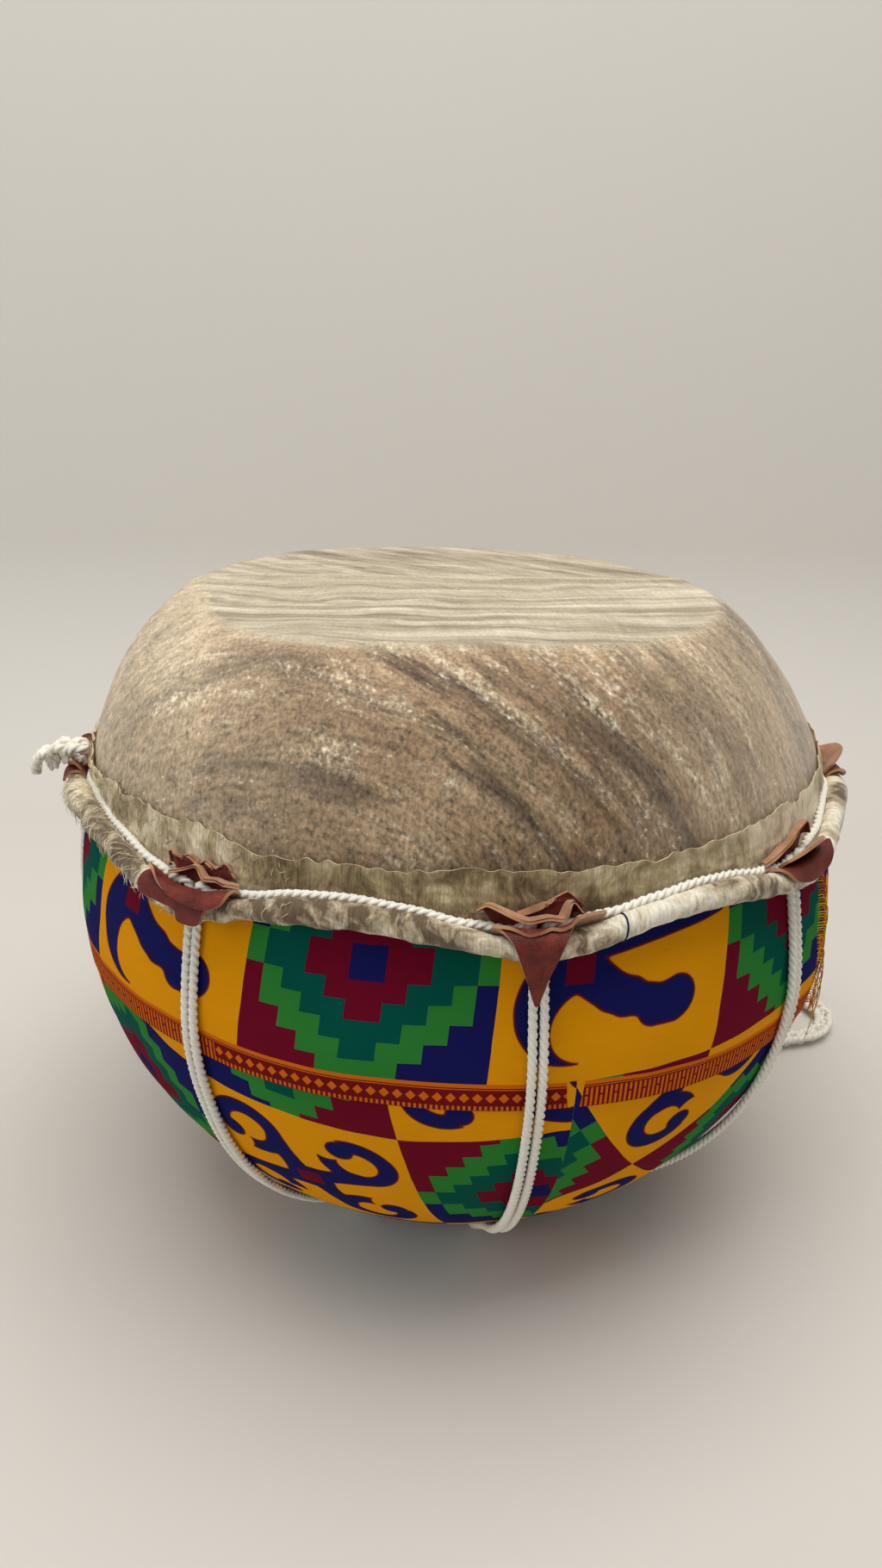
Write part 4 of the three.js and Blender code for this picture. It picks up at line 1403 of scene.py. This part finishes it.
def knot():
    """The knotted bight outside the first washer: a few tight loops of the same rope."""
    centre, radial, tangent = tie_frame(TIES[KNOT_TIE])
    route = [(-0.006, 0.0, 0.0125), (0.001, 0.001, 0.0140), (0.008, 0.0, 0.0140), (0.014, -0.001, 0.0115),
             (0.020, 0.0, 0.0080), (0.024, 0.0015, 0.0045)]
    points = [centre + radial * a + tangent * b + np.array([0, 0, c]) for a, b, c in route]
    line = chain_line(smooth_path(points, 0.001), 0.0100, 0.0062, 0.0048)
    made = joined_tubes("knot", [laid_rope(line, KNOT_ROPE, ROPE_PITCH, 2)], cotton)
    piece(made, ["knot_bundle"])


# ---------------------------------------------------------------- threads and fur
def thread_tube(line, radius, sides=7, taper=False):
    share = np.linspace(0, 1, len(line))
    reach = radius * (np.sqrt(np.clip(1 - share**2, 0.02, 1)) if taper else np.ones(len(line)))
    turn = np.linspace(0, 2 * np.pi, sides, endpoint=False)
    return tube_arrays(line, reach[:, None] * np.ones(sides), turn[None] * np.ones((len(line), 1)))


def hoop_stitch():
    """A loop of dark thread sewn round the roll."""
    angle = math.radians(18)
    r, z = hoop_centre(angle)
    reach = roll_radius(angle) + 0.0003
    around = np.radians(np.linspace(-110, 120, 30))
    points = place(angle + 0.004 * np.sin(around), r + reach * np.cos(around), z + reach * np.sin(around))
    made = joined_tubes("roll_stitch", [thread_tube(even_steps(points, 0.0008), 0.0004)],
                        thread_look("navy_thread", linear(30, 34, 74)))
    piece(made, ["hoop_stitch"])


def seam_threads():
    """Frayed ends of gold and orange thread along the upper cloth's seam."""
    rng = np.random.default_rng(5)
    tubes = []
    for height in rng.permutation(np.linspace(0.160, 0.238, 56)):
        r, z = bowl_point(bowl_angle(height), 0.0022)
        start = place(SEAM + 0.010, r, z)
        out, aside = place(SEAM, 1, 0), place(SEAM, 0, 0, 1)
        length = rng.uniform(0.006, 0.030)
        sway = rng.normal(0, 0.3, 3)
        points = [start - aside * 0.004 - out * 0.0014]
        for k in range(1, 6):
            s = k / 5
            fall = np.array([0, 0, -1]) * length * s * (0.2 + 0.8 * s)
            points.append(start + aside * length * (0.5 * s * (1 - 0.5 * s) + 0.1 * sway[0] * s)
                          + fall + out * length * 0.10 * math.sin(s * 3 + sway[1]))
        tubes.append(thread_tube(smooth_path(points, 0.0012), 0.00030, 5, True))
    half = len(tubes) // 2
    for name, colour, part in (("seam_threads_gold", linear(226, 176, 20), tubes[:half]),
                               ("seam_threads_orange", linear(206, 96, 20), tubes[half:])):
        piece(joined_tubes(name, part, thread_look(name, colour)))


def fur(grid, normal):
    """Short tapered locks on the roll and the turned-up edge, thickest at the left."""
    rng = np.random.default_rng(9)
    columns, rows = grid.shape[:2]
    tubes = []
    for _ in range(5200):
        i, j = rng.integers(columns), rng.integers(11, rows - 1)
        angle = -math.pi + 2 * math.pi * i / columns
        left = smoothstep(-0.15, -0.9, angle) * (1 - smoothstep(-2.6, -3.1, angle)) if angle < 0 else 0.0
        if rng.random() > left:
            continue
        root, up = grid[i, j], normal[i, j]
        down = grid[i, max(j - 1, 0)] - grid[i, min(j + 1, rows - 1)]
        down /= np.linalg.norm(down)
        side = np.cross(up, down)
        length = rng.uniform(0.0030, 0.0065) * (0.6 + 0.5 * left)
        swirl = rng.normal(0, 0.35) + 0.9 * math.sin(angle * 17 + j * 0.25)
        way = down * math.cos(swirl) + side * math.sin(swirl)
        if j > 34:
            way = -way
        s = np.linspace(0, 1, 5)[:, None]
        curl = rng.normal(0, 0.4)
        line = root - up * 0.0002 + way * length * s + side * length * curl * s**2 * 0.5
        line = line + up * (0.0006 * np.sin(s * np.pi * 0.8) + 0.0002)
        tubes.append(thread_tube(line, rng.uniform(0.00012, 0.00022), 4, True))
    piece(joined_tubes("hide_fur", tubes, fur_look()))


# ---------------------------------------------------------------- the drum
def calabash():
    """The gourd itself, inside the cloth and the hide."""
    columns = 240
    angle = np.linspace(-np.pi, np.pi, columns, endpoint=False)[:, None]
    low = bowl_angle(np.linspace(0.0, HOOP_Z - 0.004, 40))
    bowl_r, bowl_z = bowl_point(low, -(CLOTH + 0.0009))
    bowl_z = np.maximum(bowl_z, CLOTH + 0.0004)
    rise = np.linspace(0.10, 0.90, 26)[None]
    side_r = shoulder_outline(angle, rise) - SKIN - 0.0014 - 0.0036 * smoothstep(0.5, 0.9, rise)
    side_z = HOOP_Z + (HEAD_Z - HOOP_Z) * rise * np.ones((columns, 1))
    lip = np.linspace(0, 1, 6)[None, 1:]
    lip_r = side_r[:, -1:] - lip * 0.006
    lip_z = side_z[:, -1:] + lip * 0.0005
    base = np.linspace(0.006, 1, 10, endpoint=False)[None] * bowl_r[0]
    r = np.concatenate([base * np.ones((columns, 1)), bowl_r * np.ones((columns, 1)), side_r, lip_r], axis=1)
    base_z = bowl_z[0] * np.ones((columns, base.shape[1]))
    z = np.concatenate([base_z, bowl_z * np.ones((columns, 1)), side_z, lip_z], axis=1)
    grid = place(angle, r, z)
    uv = np.zeros((columns + 1, grid.shape[1], 2))
    rind = wood_look("calabash", linear(150, 104, 52), linear(196, 150, 88), 22.0)
    made = joined_object("calabash_bowl", [sheet_arrays(grid, WALL, {"print": uv}, wrap=True)], [rind] * 3)
    piece(made, ["gourd_shell"])


def base_ring():
    angle = np.linspace(0, 2 * np.pi, 160, endpoint=False)[:, None]
    ring_r, ring_z = bowl_point(RING_ANGLE, OFF_RING)
    made = ring_object("ring", angle, ring_r, ring_z, BASE_RING_ROD, 16, iron_look())
    piece(made, ["base_ring"])


calabash()
upper_cloth()
lower_cloth()
drumhead()
hoop_cane()
roll_grid, roll_normal = rolled_hide()
leather = leather_looks()
for number, (tie, (shape, side)) in enumerate(zip(TIES, WASHERS), start=1):
    leather_washer(number, tie, leather, shape, side)
lacing()
base_ring()
knot()
hoop_stitch()
seam_threads()
fur(roll_grid, roll_normal)


# ---------------------------------------------------------------- stage
def stage_look(name, colour, scale, amount):
    look = Look(name, 0.9, 0.1)
    mottle = look.noise(look.here(), scale, 4.0)
    look.colour(look.times(colour, mottle * amount + 1 - amount / 2))
    return look.material


def backdrop():
    """A floor that curves up into a wall behind the drum."""
    bend, back, reach, height = 0.25, 0.75, 4.0, 3.0
    turn = np.linspace(0, np.pi / 2, 16)
    y = np.concatenate([[-reach], back - bend + bend * np.sin(turn), [back]])
    z = np.concatenate([[0], bend - bend * np.cos(turn), [height]])
    points = np.array([(x, b, c) for x in (-reach, reach) for b, c in zip(y, z)])
    n = len(y)
    j = np.arange(n - 1)
    quads = np.stack([j, n + j, n + j + 1, j + 1], axis=1)
    made = mesh_object("backdrop", points, [quads], {"print": [np.zeros((n - 1, 4, 2))]},
                       [stage_look("paper", linear(214, 210, 202), 3.0, 0.03)])


def area_light(name, place_at, aim, size, power, colour=(1, 1, 1)):
    data = bpy.data.lights.new(name, "AREA")
    data.shape = "RECTANGLE"
    data.size, data.size_y = size
    data.energy = power
    data.color = colour
    back = np.array(place_at, float) - np.array(aim, float)
    back /= np.linalg.norm(back)
    right = np.cross((0, 0, 1), back)
    right /= np.linalg.norm(right)
    stand(name, data, right, np.cross(back, right), back, place_at)


def lights():
    area_light("ceiling", (0.1, -0.3, 2.3), (0, 0, 0.2), (2.2, 1.6), 42, (1.0, 0.975, 0.94))
    area_light("window", (-1.9, -1.2, 1.3), (0, 0, 0.2), (1.2, 1.2), 11, (0.95, 0.98, 1.0))
    world = bpy.data.worlds.new("room")
    world.use_nodes = True
    world.node_tree.nodes["Background"].inputs[0].default_value = (0.93, 0.94, 1.0, 1)
    world.node_tree.nodes["Background"].inputs[1].default_value = 0.34
    bpy.context.scene.world = world
    bpy.context.scene.view_settings.view_transform = "Standard"


backdrop()
lights()
